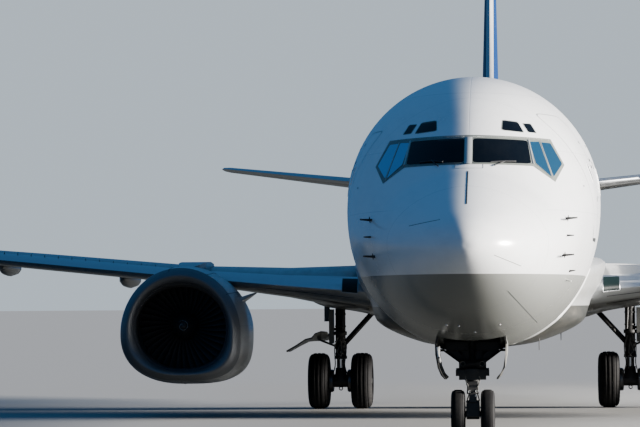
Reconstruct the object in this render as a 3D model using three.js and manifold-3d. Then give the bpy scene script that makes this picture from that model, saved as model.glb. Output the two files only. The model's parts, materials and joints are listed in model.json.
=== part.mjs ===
// A twin-engined narrow-body airliner parked on its wheels, in millimetres, +Z up.
// X is spanwise with the left wing at +X, the nose points to -Y, and the ground is z = 0.
// A station is a distance aft of the nose tip, which at() turns into a y coordinate.
import * as THREE from "three";
import { mergeVertices } from "three/addons/utils/BufferGeometryUtils.js";
import Module from "manifold-3d";

const wasm = await Module();
wasm.setup();

// Driving dimensions of the whole aircraft
const LENGTH = 33400;
const TOUCH = 0.3; // gap left between two pieces that touch
const RUN = 8; // gap around a piece that moves
const PIN = 0.9; // gap around a turning pin or axle

const BODY = {
  radomeEnd: 1150,
  sides: 36,
  paneDepth: 30,
  jackPad: { station: 5500, radius: 60, face: 1180, top: 1270 },
  fullness: 2.12, // roundness of the lower half where the body is full
  // station, top, bottom, half width, height of the widest line, roundness of the upper half
  sections: [
    [0, 2640, 2600, 20, 2620, 2.0],
    [60, 2806, 2448, 235, 2621, 2.0],
    [180, 2930, 2312, 420, 2623, 1.97],
    [400, 3060, 2150, 640, 2630, 1.92],
    [750, 3240, 1955, 868, 2650, 1.86],
    [1150, 3425, 1790, 1060, 2690, 1.8],
    [1480, 3565, 1680, 1190, 2725, 1.76],
    [1760, 3680, 1600, 1285, 2760, 1.73],
    [2040, 3860, 1532, 1368, 2800, 1.7],
    [2360, 4070, 1465, 1450, 2850, 1.68],
    [2750, 4305, 1400, 1532, 2915, 1.7],
    [3200, 4540, 1342, 1612, 3000, 1.75],
    [3700, 4755, 1292, 1690, 3090, 1.81],
    [4300, 4950, 1252, 1762, 3185, 1.88],
    [5000, 5105, 1225, 1796, 3275, 1.95],
    [5800, 5200, 1210, 1842, 3335, 2.0],
    [6700, 5230, 1205, 1870, 3350, 2.0],
    [8000, 5230, 1205, 1880, 3350, 2.0],
    [20200, 5230, 1205, 1880, 3350, 2.0],
    [21600, 5230, 1330, 1876, 3380, 2.0],
    [23200, 5226, 1680, 1828, 3510, 2.0],
    [25000, 5212, 2180, 1690, 3730, 2.0],
    [27000, 5176, 2780, 1400, 3980, 2.0],
    [29000, 5100, 3400, 975, 4230, 2.0],
    [30600, 5000, 3860, 610, 4420, 2.0],
    [31600, 4910, 4150, 370, 4530, 2.0],
    [32180, 4830, 4370, 230, 4600, 2.0],
  ],
};

// Cockpit panes seen from the front: across, up
const PANES = {
  windshield: [[56, 3765], [56, 4085], [768, 4080], [824, 3752]],
  side_window: [[826, 4062], [946, 4075], [1106, 3588], [886, 3752]],
  rear_window: [[962, 4075], [1088, 4072], [1252, 3775], [1146, 3572]],
};

const FAIRING = {
  // one side from the top to the keel, as shares of the half width and of the shoulder's height
  profile: [[0, 1.1], [0.6, 1.1], [0.93, 1.07], [1, 1], [0.957, 0.77], [0.883, 0.585], [0.848, 0.415],
    [0.83, 0.345], [0.755, 0.25], [0.7, 0.207], [0.58, 0.13], [0.4, 0.05], [0.2, 0.012], [0, 0]],
  // station, half width, height of the shoulder, height of the keel
  sections: [
    [9000, 1500, 2300, 1330],
    [9900, 1860, 2440, 1225],
    [10800, 2020, 2510, 1175],
    [11500, 2060, 2530, 1158],
    [15400, 2060, 2520, 1152],
    [17400, 2040, 2480, 1162],
    [18600, 1900, 2400, 1205],
    [19600, 1500, 2300, 1330],
  ],
};

const WING = {
  ring: 11, // points from the leading edge to the trailing edge on each face
  camber: 0.016,
  camberAt: 0.4,
  trailingHalf: 0.0025,
  dihedral: THREE.MathUtils.degToRad(5.65),
  rootX: 1880,
  rootZ: 2055,
  // span, leading edge station, trailing edge station, thickness ratio, twist in degrees
  sections: [
    [1200, 10830, 17780, 0.128, 1.3],
    [1880, 11330, 17740, 0.127, 1.2],
    [3300, 12365, 17560, 0.098, 0.5],
    [4950, 13589, 17346, 0.088, 0.1],
    [8000, 15215, 18156, 0.1, 0.3],
    [11200, 16921, 19007, 0.1, -0.4],
    [13700, 18253, 19671, 0.106, -1.4],
    [14150, 18600, 19790, 0.1, -1.4],
    [14350, 18840, 19820, 0.082, -1.4],
    [14440, 19120, 19800, 0.045, -1.4],
  ],
  // span of each end, share of the chord where the flap starts
  flaps: { inner: [2200, 4380, 0.84], outer: [5350, 10230, 0.72] },
  aileron: [10450, 13600, 0.74],
  jackPad: { span: 3300, station: 15200, radius: 60, face: 2000, top: 2120 },
  // span, length, half width, half depth of each flap track fairing
  trackFairings: [[6490, 2500, 150, 158], [8860, 2200, 140, 155]],
};

// Brackets that carry a control surface, at shares of its span
const HINGE = { brackets: [0.12, 0.5, 0.88], width: 60, thick: 24, root: 30, far: 4000 };

const FIN = {
  ring: 10,
  // height, leading edge station, trailing edge station, half thickness
  sections: [
    [4900, 21500, 31840, 225],
    [5250, 22500, 31900, 205],
    [6350, 27040, 32080, 180],
    [8500, 28810, 32400, 135],
    [10950, 30830, 32770, 82],
    [11080, 31090, 32785, 62],
    [11130, 31400, 32780, 30],
  ],
  rudder: { low: [30290, 5620], high: [32130, 10760], nose: 0.97 },
};

const TAILPLANE = {
  ring: 9,
  dihedral: THREE.MathUtils.degToRad(7.5),
  rootX: 600,
  rootZ: 4330,
  // span, leading edge station, trailing edge station, thickness ratio, twist
  sections: [
    [250, 28330, 32260, 0.09, 0],
    [3300, 30240, 32800, 0.088, 0],
    [6150, 32010, 33370, 0.085, 0],
    [6290, 32160, 33400, 0.066, 0],
    [6350, 32420, 33390, 0.036, 0],
  ],
  elevator: [1120, 6080, 0.68],
};

const ENGINE = {
  x: 4945,
  z: 1545,
  lip: 11100, // station of the foremost edge of the intake
  sides: 28,
  // distance aft of the lip edge, half width, height above the axis, depth below it,
  // squareness below, and how far the widest line lies below the axis
  outside: [
    [70, 938, 907, 846, 2.26, 115],
    [190, 994, 963, 901, 2.28, 127],
    [500, 1041, 977, 948, 2.3, 127],
    [1000, 1074, 1001, 970, 2.3, 127],
    [1550, 1075, 972, 960, 2.3, 120],
    [2000, 1050, 890, 916, 2.26, 100],
    [2600, 975, 700, 815, 2.2, 60],
    [3050, 885, 600, 715, 2.15, 0],
  ],
  edge: [0, 870, 836, 797, 2.22, 90],
  throat: [[70, 795, 742, 745, 2.16, 50], [190, 758, 700, 718, 2.12, 25]],
  duct: [[700, 776, 776, 776, 2, 0], [1600, 776, 776, 776, 2, 0], [2200, 800, 690, 740, 2, 0],
    [3050, 862, 577, 690, 2.15, 0]],
  fuller: 4.5, // how many times squarer than round the lower inboard side is
  strake: { root: 4050, height: 1962, tilt: THREE.MathUtils.degToRad(30), thick: 24,
    plan: [[70, 11700], [70, 12900], [-264, 12900], [-205, 12450]] },
  lipEnd: 190,
};

const FAN = {
  station: 900, // aft of the lip edge, at the blades' middle
  blades: 38,
  hub: 245,
  tip: 762,
  rootChord: 150,
  tipChord: 170,
  rootAngle: 28,
  tipAngle: 60,
  rootThick: 16,
  tipThick: 6,
  spinner: [[232, 85], [170, 235], [85, 355]], // radius, distance ahead of the blades' middle
  noseAhead: 415,
};

const CORE = {
  sides: 22,
  spigot: 150,
  struts: 6,
  vaneReach: 766,
  // distance aft of the lip edge, radius, outside from the front to the nozzle
  shell: [[1090, 430], [1700, 470], [2500, 465], [3050, 440], [3900, 345]],
  nozzleWall: 14,
  plugSeat: 3500,
  plug: [[3500, 225], [3800, 238], [4150, 190], [4500, 95], [4650, 25]],
};

const PYLON = {
  width: 500,
  // station and z down the top, then back along the bottom
  side: [[12000, 2500], [12500, 2560], [13000, 2605], [13500, 2632], [14100, 2640], [14800, 2600],
    [15300, 2500], [16350, 2330], [16350, 2200], [15500, 2020], [14700, 1945], [12900, 1930],
    [12750, 2400], [12050, 2440]],
  // station, half width
  plan: [[11950, 0], [12150, 90], [12600, 180], [13200, 225], [14600, 215], [15600, 140],
    [16380, 20]],
};

const NOSE_GEAR = {
  station: 4010,
  tyre: { radius: 340, width: 197, rim: 195, sides: 20 },
  spacing: 415,
  axle: 42,
  strut: 84,
  piston: 52,
  lower: 850, // height where the steered part starts
  bay: { half: 395, front: 2900, back: 4480, roof: 1960 },
  // station of each end, then across and up down the outside
  door: {
    front: 2950,
    back: 4380,
    thick: 26,
    outline: [[462, 1500], [496, 1330], [492, 1190], [462, 1010], [418, 905], [366, 848]],
    lug: [400, 1215, 1250],
  },
};

const MAIN_GEAR = {
  x: 2615,
  station: 16460,
  tyre: { radius: 505, width: 385, rim: 262, sides: 24 },
  spacing: 775,
  axle: 62,
  strut: 92,
  piston: 70,
  lower: 900, // height where the sliding part starts
  trunnion: 2070,
  collars: [[1080, 1170], [900, 960], [1330, 1400]],
  brace: { low: 1165, top: [1950, 1825], radius: 50, aft: 40 },
  door: {
    // outboard of the leg, height of the skin line ahead, height behind
    outline: [[215, 1400, 1262], [330, 1412, 1252], [440, 1372, 1245], [500, 1300, 1245],
      [615, 1272, 1235], [770, 1170, 1160], [960, 1062, 1055]],
    thick: 28,
    ahead: 420,
    behind: 560,
    // plates beside the leg: outboard from, to, height from, to, ahead, behind
    plates: [[118, 205, 1180, 1800, 90, 110], [200, 290, 1580, 1880, 60, 130]],
    // height at the leg, outboard, aft and height of the far end, radius
    links: [[1120, 430, 400, 1250, 20], [1365, 250, 0, 1330, 26], [1440, 180, 0, 1440, 26]],
  },
  well: { x: 1060, radius: 560, roof: 1640, slot: 190, slotRoof: 2150, slotSide: 2785 },
};

const finish = (colour, roughness, metalness) =>
  new THREE.MeshStandardMaterial({ color: colour, roughness, metalness });
const PAINT = finish(0xe9ebec, 0.3, 0.0);
const GREY_PAINT = finish(0x8f9494, 0.35, 0.0);
const BLUE_PAINT = finish(0x15336b, 0.3, 0.0);
const BARE_METAL = finish(0xb4b8bb, 0.25, 0.9);
const DARK_METAL = finish(0x3c3d3f, 0.5, 0.8);
const GEAR_PAINT = finish(0x9a9da0, 0.45, 0.2);
const GLASS = finish(0x10161c, 0.08, 0.0);
const RUBBER = finish(0x17181a, 0.85, 0.0);

const at = (station) => station - LENGTH / 2;

// A geometry as a solid that manifold-3d can join and cut. Faces are turned outwards where they point in.
function solid(geometry) {
  const bare = geometry.index ? geometry.toNonIndexed() : geometry.clone();
  const points = new THREE.BufferGeometry();
  points.setAttribute("position", bare.getAttribute("position"));
  const merged = mergeVertices(points, 1e-3);
  const make = (indices) =>
    new wasm.Manifold(
      new wasm.Mesh({
        numProp: 3,
        vertProperties: merged.attributes.position.array,
        triVerts: indices,
      }),
    );
  const indices = new Uint32Array(merged.index.array);
  const made = make(indices);
  if (made.volume() >= 0) return made;
  for (let i = 0; i < indices.length; i += 3) {
    [indices[i + 1], indices[i + 2]] = [indices[i + 2], indices[i + 1]];
  }
  return make(indices);
}

function geometryOf(body) {
  const { numProp, vertProperties, triVerts } = body.getMesh();
  const count = vertProperties.length / numProp;
  const positions = new Float32Array(count * 3);
  for (let i = 0; i < count; i++) {
    positions.set(vertProperties.subarray(i * numProp, i * numProp + 3), i * 3);
  }
  const geometry = new THREE.BufferGeometry();
  geometry.setAttribute("position", new THREE.BufferAttribute(positions, 3));
  geometry.setIndex(new THREE.BufferAttribute(triVerts, 1));
  geometry.computeVertexNormals();
  return geometry;
}

const unite = (...bodies) => bodies.reduce((sum, body) => sum.add(body));
const cut = (body, ...tools) => tools.reduce((left, tool) => left.subtract(tool), body);
const mirrored = (body) => solid(geometryOf(body).scale(-1, 1, 1));
const bothSides = (body) => unite(body, mirrored(body));

// A closed skin over rings of equal point counts. A loop joins the last ring to the first, as a tube does.
// The two halves of a ring are split into mirror-image triangles, so that a left piece fits on both sides.
// An end is closed by rungs from one half of its ring to the other, which also suits a thin curved strip.
function skin(rings, loop = false) {
  const around = rings[0].length;
  const positions = rings.flat().flatMap((p) => [p.x, p.y, p.z]);
  const indices = [];
  const bands = loop ? rings.length : rings.length - 1;
  for (let i = 0; i < bands; i++) {
    const near = i * around;
    const far = ((i + 1) % rings.length) * around;
    for (let j = 0; j < around; j++) {
      const next = (j + 1) % around;
      if (j < around / 2) indices.push(near + j, near + next, far + next, near + j, far + next, far + j);
      else indices.push(near + j, near + next, far + j, near + next, far + next, far + j);
    }
  }
  if (!loop) {
    const last = (rings.length - 1) * around;
    for (let j = 0; 2 * j < around - 2; j++) {
      const [a, b, c, d] = [j, j + 1, around - 2 - j, around - 1 - j];
      if (b < c) indices.push(a, c, b, last + a, last + b, last + c);
      indices.push(a, d, c, last + a, last + c, last + d);
    }
  }
  const geometry = new THREE.BufferGeometry();
  geometry.setAttribute("position", new THREE.Float32BufferAttribute(positions, 3));
  geometry.setIndex(indices);
  return solid(geometry);
}

// Smooth values between the rows of a table whose first column rises, with no overshoot.
function between(rows, where) {
  const last = rows.length - 1;
  const x = rows.map((row) => row[0]);
  const place = THREE.MathUtils.clamp(where, x[0], x[last]);
  let i = x.findIndex((value) => value > place) - 1;
  if (i < 0) i = last - 1;
  const gap = (k) => x[k + 1] - x[k];
  const t = (place - x[i]) / gap(i);
  return rows[0].slice(1).map((_, column) => {
    const y = rows.map((row) => row[column + 1]);
    const slope = (k) => (y[k + 1] - y[k]) / gap(k);
    const tangent = (k) => {
      if (k === 0) return slope(0);
      if (k === last) return slope(last - 1);
      const [a, b] = [slope(k - 1), slope(k)];
      return a * b <= 0 ? 0 : (3 * (gap(k - 1) + gap(k))) /
        ((2 * gap(k) + gap(k - 1)) / a + (gap(k) + 2 * gap(k - 1)) / b);
    };
    const [h, t2, t3] = [gap(i), t * t, t * t * t];
    return (2 * t3 - 3 * t2 + 1) * y[i] + (t3 - 2 * t2 + t) * h * tangent(i) +
      (3 * t2 - 2 * t3) * y[i + 1] + (t3 - t2) * h * tangent(i + 1);
  });
}

// A round bar between two points, which may taper.
function rod(from, to, radius, endRadius = radius, sides = 16) {
  const start = new THREE.Vector3(...from);
  const line = new THREE.Vector3(...to).sub(start);
  const geometry = new THREE.CylinderGeometry(endRadius, radius, line.length(), sides);
  geometry.translate(0, line.length() / 2, 0);
  const turn = new THREE.Quaternion();
  turn.setFromUnitVectors(new THREE.Vector3(0, 1, 0), line.clone().normalize());
  return solid(geometry.applyQuaternion(turn).translate(...from));
}

function box(low, high) {
  const size = high.map((value, i) => value - low[i]);
  const centre = high.map((value, i) => (value + low[i]) / 2);
  return solid(new THREE.BoxGeometry(...size).translate(...centre));
}

// A plate drawn from above as [x, station] corners, from one height to another.
function prismUp(corners, low, high) {
  const shape = new THREE.Shape(corners.map(([x, s]) => new THREE.Vector2(x, at(s))));
  const geometry = new THREE.ExtrudeGeometry(shape, { depth: high - low, bevelEnabled: false });
  return solid(geometry.translate(0, 0, low));
}

// A plate drawn from the side as [station, z] corners, centred at x.
function prismSide(corners, x, width) {
  const shape = new THREE.Shape(corners.map(([s, z]) => new THREE.Vector2(at(s), z)));
  const geometry = new THREE.ExtrudeGeometry(shape, { depth: width, bevelEnabled: false });
  geometry.rotateX(Math.PI / 2).rotateZ(Math.PI / 2);
  return solid(geometry.translate(x - width / 2, 0, 0));
}

// A plate drawn from the front as [x, z] corners, between two stations.
function prismFront(corners, from, to) {
  const shape = new THREE.Shape(corners.map(([x, z]) => new THREE.Vector2(x, z)));
  const geometry = new THREE.ExtrudeGeometry(shape, { depth: to - from, bevelEnabled: false });
  return solid(geometry.rotateX(Math.PI / 2).translate(0, at(to), 0));
}

// One ring of the fuselage: an egg whose halves may be fuller or slimmer than an ellipse.
function bodyRing(station, grow) {
  const [top, bottom, half, widest, roundness] = between(BODY.sections, station);
  const lower = THREE.MathUtils.lerp(2, BODY.fullness, THREE.MathUtils.smoothstep(station, 1000, 5000));
  return Array.from({ length: BODY.sides }, (_, i) => {
    const angle = (2 * Math.PI * i) / BODY.sides;
    const [across, up] = [Math.sin(angle), Math.cos(angle)];
    const power = 2 / (up > 0 ? roundness : lower);
    const reach = up > 0 ? top - widest : widest - bottom;
    return new THREE.Vector3(
      Math.sign(across) * Math.abs(across) ** power * (half + grow),
      at(station),
      widest + Math.sign(up) * Math.abs(up) ** power * (reach + grow),
    );
  });
}

function bodySolid(from, to, grow = 0) {
  const inner = BODY.sections.map((row) => row[0]).filter((s) => s > from && s < to);
  return skin([from, ...inner, to].map((station) => bodyRing(station, grow)));
}

// The fairing where wing and body meet, before the body is cut out of it.
function fairingSolid(grow = 0) {
  const { profile, sections } = FAIRING;
  const mirror = profile.slice(1, -1).map(([across, up]) => [-across, up]).reverse();
  return skin(
    sections.map(([station, half, shoulder, keel]) =>
      [...profile, ...mirror].map(([across, up]) =>
        new THREE.Vector3(
          across * (half + grow),
          at(station),
          keel - grow + up * (shoulder - keel + 2 * grow),
        ),
      ),
    ),
  );
}

// Half thickness of a foil per unit of thickness ratio, at a share of its chord.
const foilHalf = (x) =>
  5 * (0.2969 * Math.sqrt(x) - 0.126 * x - 0.3516 * x ** 2 + 0.2843 * x ** 3 - 0.1036 * x ** 4);

const camberOf = (x) => {
  const p = WING.camberAt;
  const bend = x < p ? (2 * p * x - x * x) / p ** 2 : (1 - 2 * p + 2 * p * x - x * x) / (1 - p) ** 2;
  return WING.camber * bend;
};

// Height of a flying surface's reference line at a span.
const planeHeight = (plane, x) => plane.rootZ + (x - plane.rootX) * Math.tan(plane.dihedral);

// A point of a wing or tailplane: side is 1 on the upper face, -1 on the lower and 0 between them.
// A grown foil is thicker and starts further ahead.
function foilPoint(plane, span, share, side, grow = 0) {
  const [lead, trail, ratio, twist] = between(plane.sections, span);
  const chord = trail - lead;
  const camber = plane.camber ? camberOf(share) * chord : 0;
  const blunt = (plane.trailingHalf ?? 0.0025) * chord * share;
  const half = foilHalf(share) * ratio * chord + blunt + grow;
  const [aft, up] = [(share - 0.25) * chord - 2 * grow * (1 - share), camber + side * half];
  const angle = THREE.MathUtils.degToRad(twist);
  return new THREE.Vector3(
    span,
    at(lead + 0.25 * chord + aft * Math.cos(angle) + up * Math.sin(angle)),
    planeHeight(plane, span) - aft * Math.sin(angle) + up * Math.cos(angle),
  );
}

function foilRing(plane, span, grow) {
  const shares = Array.from({ length: plane.ring }, (_, i) =>
    1 - Math.cos((Math.PI / 2) * (i / (plane.ring - 1))),
  );
  const upper = shares.map((share) => foilPoint(plane, span, share, 1, grow)).reverse();
  const lower = shares.slice(grow > 0 ? 0 : 1).map((share) => foilPoint(plane, span, share, -1, grow));
  return [...upper, ...lower];
}

function foilSolid(plane, grow = 0) {
  return skin(plane.sections.map((row) => foilRing(plane, row[0], grow)));
}

// A control surface turns about a hinge inside its parent: the surface gets a round nose, tapering
// from one radius to the other, and the parent a bay that clears it and brackets that reach the nose.
// Both ends are square to the hinge.
function hinged(parent, from, to, nose) {
  const axis = to.clone().sub(from);
  const span = axis.length();
  axis.normalize();
  const aft = new THREE.Vector3(0, 1, 0);
  aft.addScaledVector(axis, -aft.dot(axis)).normalize();
  const up = new THREE.Vector3().crossVectors(axis, aft);
  const frame = new THREE.Matrix4().makeBasis(axis, aft, up).setPosition(from);
  const slab = (corners, half) => {
    const shape = new THREE.Shape(corners.map(([along, back]) => new THREE.Vector2(along, back)));
    const geometry = new THREE.ExtrudeGeometry(shape, { depth: 2 * half, bevelEnabled: false });
    return solid(geometry.translate(0, 0, -half).applyMatrix4(frame));
  };
  const [near, far] = nose;
  const radius = (along) => near + ((far - near) * along) / span;
  const surface = slab([[0, 0], [span, 0], [span, HINGE.far], [0, HINGE.far]], HINGE.far);
  const room = [[-RUN, -near - RUN], [span + RUN, -far - RUN], [span + RUN, HINGE.far], [-RUN, HINGE.far]];
  const brackets = HINGE.brackets.map((share) => {
    const [start, end] = [share * span - HINGE.width / 2, share * span + HINGE.width / 2];
    const seat = -radius(start) - TOUCH;
    const wall = -near - RUN - HINGE.root;
    return slab([[start, wall], [end, wall], [end, seat], [start, seat]], HINGE.thick / 2);
  });
  return {
    moving: unite(parent.intersect(surface), rod(from.toArray(), to.toArray(), near, far, 20)),
    fixed: unite(cut(parent, slab(room, HINGE.far)), ...brackets),
  };
}

// A canoe-shaped fairing along Y under the flap's track.
function canoe(length, halfWidth, halfDepth) {
  const outline = [[0, 0], [0.05, 0.38], [0.16, 0.74], [0.32, 0.97], [0.5, 1], [0.7, 0.82],
    [0.87, 0.46], [1, 0]];
  const profile = outline.map(([along, wide]) => new THREE.Vector2(wide, along * length));
  const geometry = new THREE.LatheGeometry(profile, 10);
  return solid(geometry.scale(halfWidth, 1, halfDepth));
}

function wingParts() {
  const whole = foilSolid(WING);
  const bodyCut = bodySolid(9000, 20000, TOUCH);
  const fairingCut = fairingSolid(2 * TOUCH);
  const edge = (span, share) => {
    const [lead, trail] = between(WING.sections, span);
    return lead + share * (trail - lead);
  };
  const flapZone = ([from, to, share], gap) =>
    prismUp(
      [
        [from - gap, edge(from, share) - gap],
        [to + gap, edge(to, share) - gap],
        [to + gap, edge(to, 1) + 900],
        [from - gap, edge(from, 1) + 900],
      ],
      500,
      5000,
    );
  const bare = cut(whole, bodyCut, fairingCut, wheelWell());
  const flaps = {};
  let fixed = bare;
  for (const [name, zone] of Object.entries(WING.flaps)) {
    flaps[name] = bare.intersect(flapZone(zone, 0));
    fixed = cut(fixed, flapZone(zone, TOUCH));
  }
  const [inner, outer, share] = WING.aileron;
  const hinge = [inner, outer].map((span) => foilPoint(WING, span, share, 0));
  const nose = [inner, outer].map(
    (span) => 0.97 * foilPoint(WING, span, share, 1).distanceTo(foilPoint(WING, span, share, 0)),
  );
  const aileron = hinged(fixed, ...hinge, nose);
  fixed = aileron.fixed;
  const flapRooms = Object.values(WING.flaps).map((zone) =>
    foilSolid(WING, TOUCH).intersect(flapZone(zone, TOUCH)),
  );
  for (const [span, length, halfWidth, halfDepth] of WING.trackFairings) {
    const under = foilPoint(WING, span, 0.72, -1);
    const front = at(edge(span, 1) - length * 0.8);
    const low = under.z - halfDepth * 0.5;
    const track = geometryOf(canoe(length, halfWidth, halfDepth)).translate(span, front, low);
    fixed = unite(fixed, cut(solid(track), ...flapRooms));
  }
  const { jackPad } = WING;
  const [x, y] = [jackPad.span, at(jackPad.station)];
  fixed = fixed.add(rod([x, y, jackPad.face], [x, y, jackPad.top], jackPad.radius));
  return { fixed, flaps, aileron: aileron.moving, hinge };
}

function wheelWell() {
  const { x, radius, roof, slot, slotRoof, slotSide } = MAIN_GEAR.well;
  const y = at(MAIN_GEAR.station);
  const round = rod([x, y, 600], [x, y, roof], radius, radius, 28);
  const leg = box([x, y - slot, 600], [slotSide, y + slot, slotRoof]);
  return unite(round, leg);
}

function noseBay() {
  const { half, front, back, roof } = NOSE_GEAR.bay;
  return box([-half, at(front), 900], [half, at(back), roof]);
}

function bodyParts() {
  const bay = noseBay();
  const wells = bothSides(wheelWell());
  const shell = cut(bodySolid(BODY.radomeEnd + TOUCH, 32180), bay, wells);
  const inner = bodySolid(BODY.radomeEnd, 8000, -BODY.paneDepth);
  const panes = {};
  let fuselage = shell;
  for (const [name, corners] of Object.entries(PANES)) {
    const left = prismFront(corners, 1300, 4200);
    const room = prismFront(spread(corners, TOUCH), 1250, 4250);
    panes[name] = cut(bodySolid(BODY.radomeEnd, 8000).intersect(left), inner);
    const recess = cut(room, bodySolid(BODY.radomeEnd, 8000, -BODY.paneDepth - TOUCH));
    fuselage = cut(fuselage, bothSides(recess));
  }
  const { station, radius, face, top } = BODY.jackPad;
  fuselage = fuselage.add(rod([0, at(station), face], [0, at(station), top], radius));
  const apu = rod([0, at(31700), 4596], [0, at(32300), 4600], 165, 165, 24);
  fuselage = cut(fuselage, apu);
  const radome = bodySolid(0, BODY.radomeEnd);
  const fairing = cut(fairingSolid(), bodySolid(9000, 20000, TOUCH), wells);
  return { fuselage, radome, fairing, panes };
}

function finParts() {
  const foilSide = FIN.sections.map(([z, lead, trail, half]) => {
    const chord = trail - lead;
    const shares = Array.from({ length: FIN.ring }, (_, i) =>
      1 - Math.cos((Math.PI / 2) * (i / (FIN.ring - 1))),
    );
    const out = (share) => (foilHalf(share) / 0.5) * half + 8 * share;
    const point = (share, side) => new THREE.Vector3(side * out(share), at(lead + share * chord), z);
    return [
      ...shares.map((share) => point(share, 1)).reverse(),
      ...shares.slice(1).map((share) => point(share, -1)),
    ];
  });
  const whole = cut(skin(foilSide), bodySolid(20000, 32180, TOUCH));
  const { low, high, nose } = FIN.rudder;
  const hinge = [low, high].map(([station, z]) => new THREE.Vector3(0, at(station), z));
  const radii = [low, high].map(([station, z]) => {
    const rows = FIN.sections;
    const [lead, trail, half] = between(rows, z);
    const share = (station - lead) / (trail - lead);
    return nose * ((foilHalf(share) / 0.5) * half + 8 * share);
  });
  const rudder = hinged(whole, ...hinge, radii);
  return { fixed: rudder.fixed, rudder: rudder.moving, hinge };
}

function tailplaneParts() {
  const whole = cut(foilSolid(TAILPLANE), bodySolid(20000, 32180, TOUCH));
  const [inner, outer, share] = TAILPLANE.elevator;
  const hinge = [inner, outer].map((span) => foilPoint(TAILPLANE, span, share, 0));
  const nose = [inner, outer].map(
    (span) =>
      0.97 * foilPoint(TAILPLANE, span, share, 1).distanceTo(foilPoint(TAILPLANE, span, share, 0)),
  );
  const elevator = hinged(whole, ...hinge, nose);
  return { fixed: elevator.fixed, elevator: elevator.moving, hinge };
}

// A ring of the engine's casing, flattened below where its squareness is over 2, more so inboard.
function casingRing([aft, half, above, below, square, waist], grow = 0) {
  return Array.from({ length: ENGINE.sides }, (_, i) => {
    const angle = (2 * Math.PI * i) / ENGINE.sides;
    const [across, up] = [Math.sin(angle), Math.cos(angle)];
    const lower = across < 0 ? 2 + (square - 2) * ENGINE.fuller : square;
    const power = up < 0 ? 2 / lower : 1;
    const reach = up > 0 ? above + waist : below - waist;
    return new THREE.Vector3(
      ENGINE.x + Math.sign(across) * Math.abs(across) ** power * (half + grow),
      at(ENGINE.lip + aft),
      ENGINE.z - waist + Math.sign(up) * Math.abs(up) ** power * (reach + grow),
    );
  });
}

const shifted = (row, aft) => [aft, ...row.slice(1)];

function casingParts() {
  const { outside, edge, throat, duct, lipEnd } = ENGINE;
  const lipRows = [outside[1], outside[0], edge, throat[0], throat[1]];
  const lip = skin(lipRows.map((row) => casingRing(row)), true);
  const seam = lipEnd + TOUCH;
  const cowlRows = [
    shifted(outside[1], seam),
    ...outside.slice(2),
    ...duct.slice().reverse(),
    shifted(throat[1], seam),
  ];
  const ring = skin(cowlRows.map((row) => casingRing(row)), true);
  const { root, height, tilt, thick, plan } = ENGINE.strake;
  const fin = geometryOf(prismUp(plan, -thick / 2, thick / 2));
  const strake = solid(fin.rotateY(tilt).translate(root, 0, height));
  const inside = skin([...duct].reverse().map((row) => casingRing(row)));
  const cowl = cut(unite(ring, cut(strake, inside)), foilSolid(WING, TOUCH), pylonSolid(TOUCH));
  return { lip, cowl };
}

// A turned solid around the engine's axis from rows of distance aft and radius.
function turned(rows, sides) {
  const profile = rows.map(([aft, radius]) => new THREE.Vector2(radius, aft));
  const geometry = new THREE.LatheGeometry(profile, sides);
  return solid(geometry.translate(ENGINE.x, at(ENGINE.lip), ENGINE.z));
}

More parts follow.
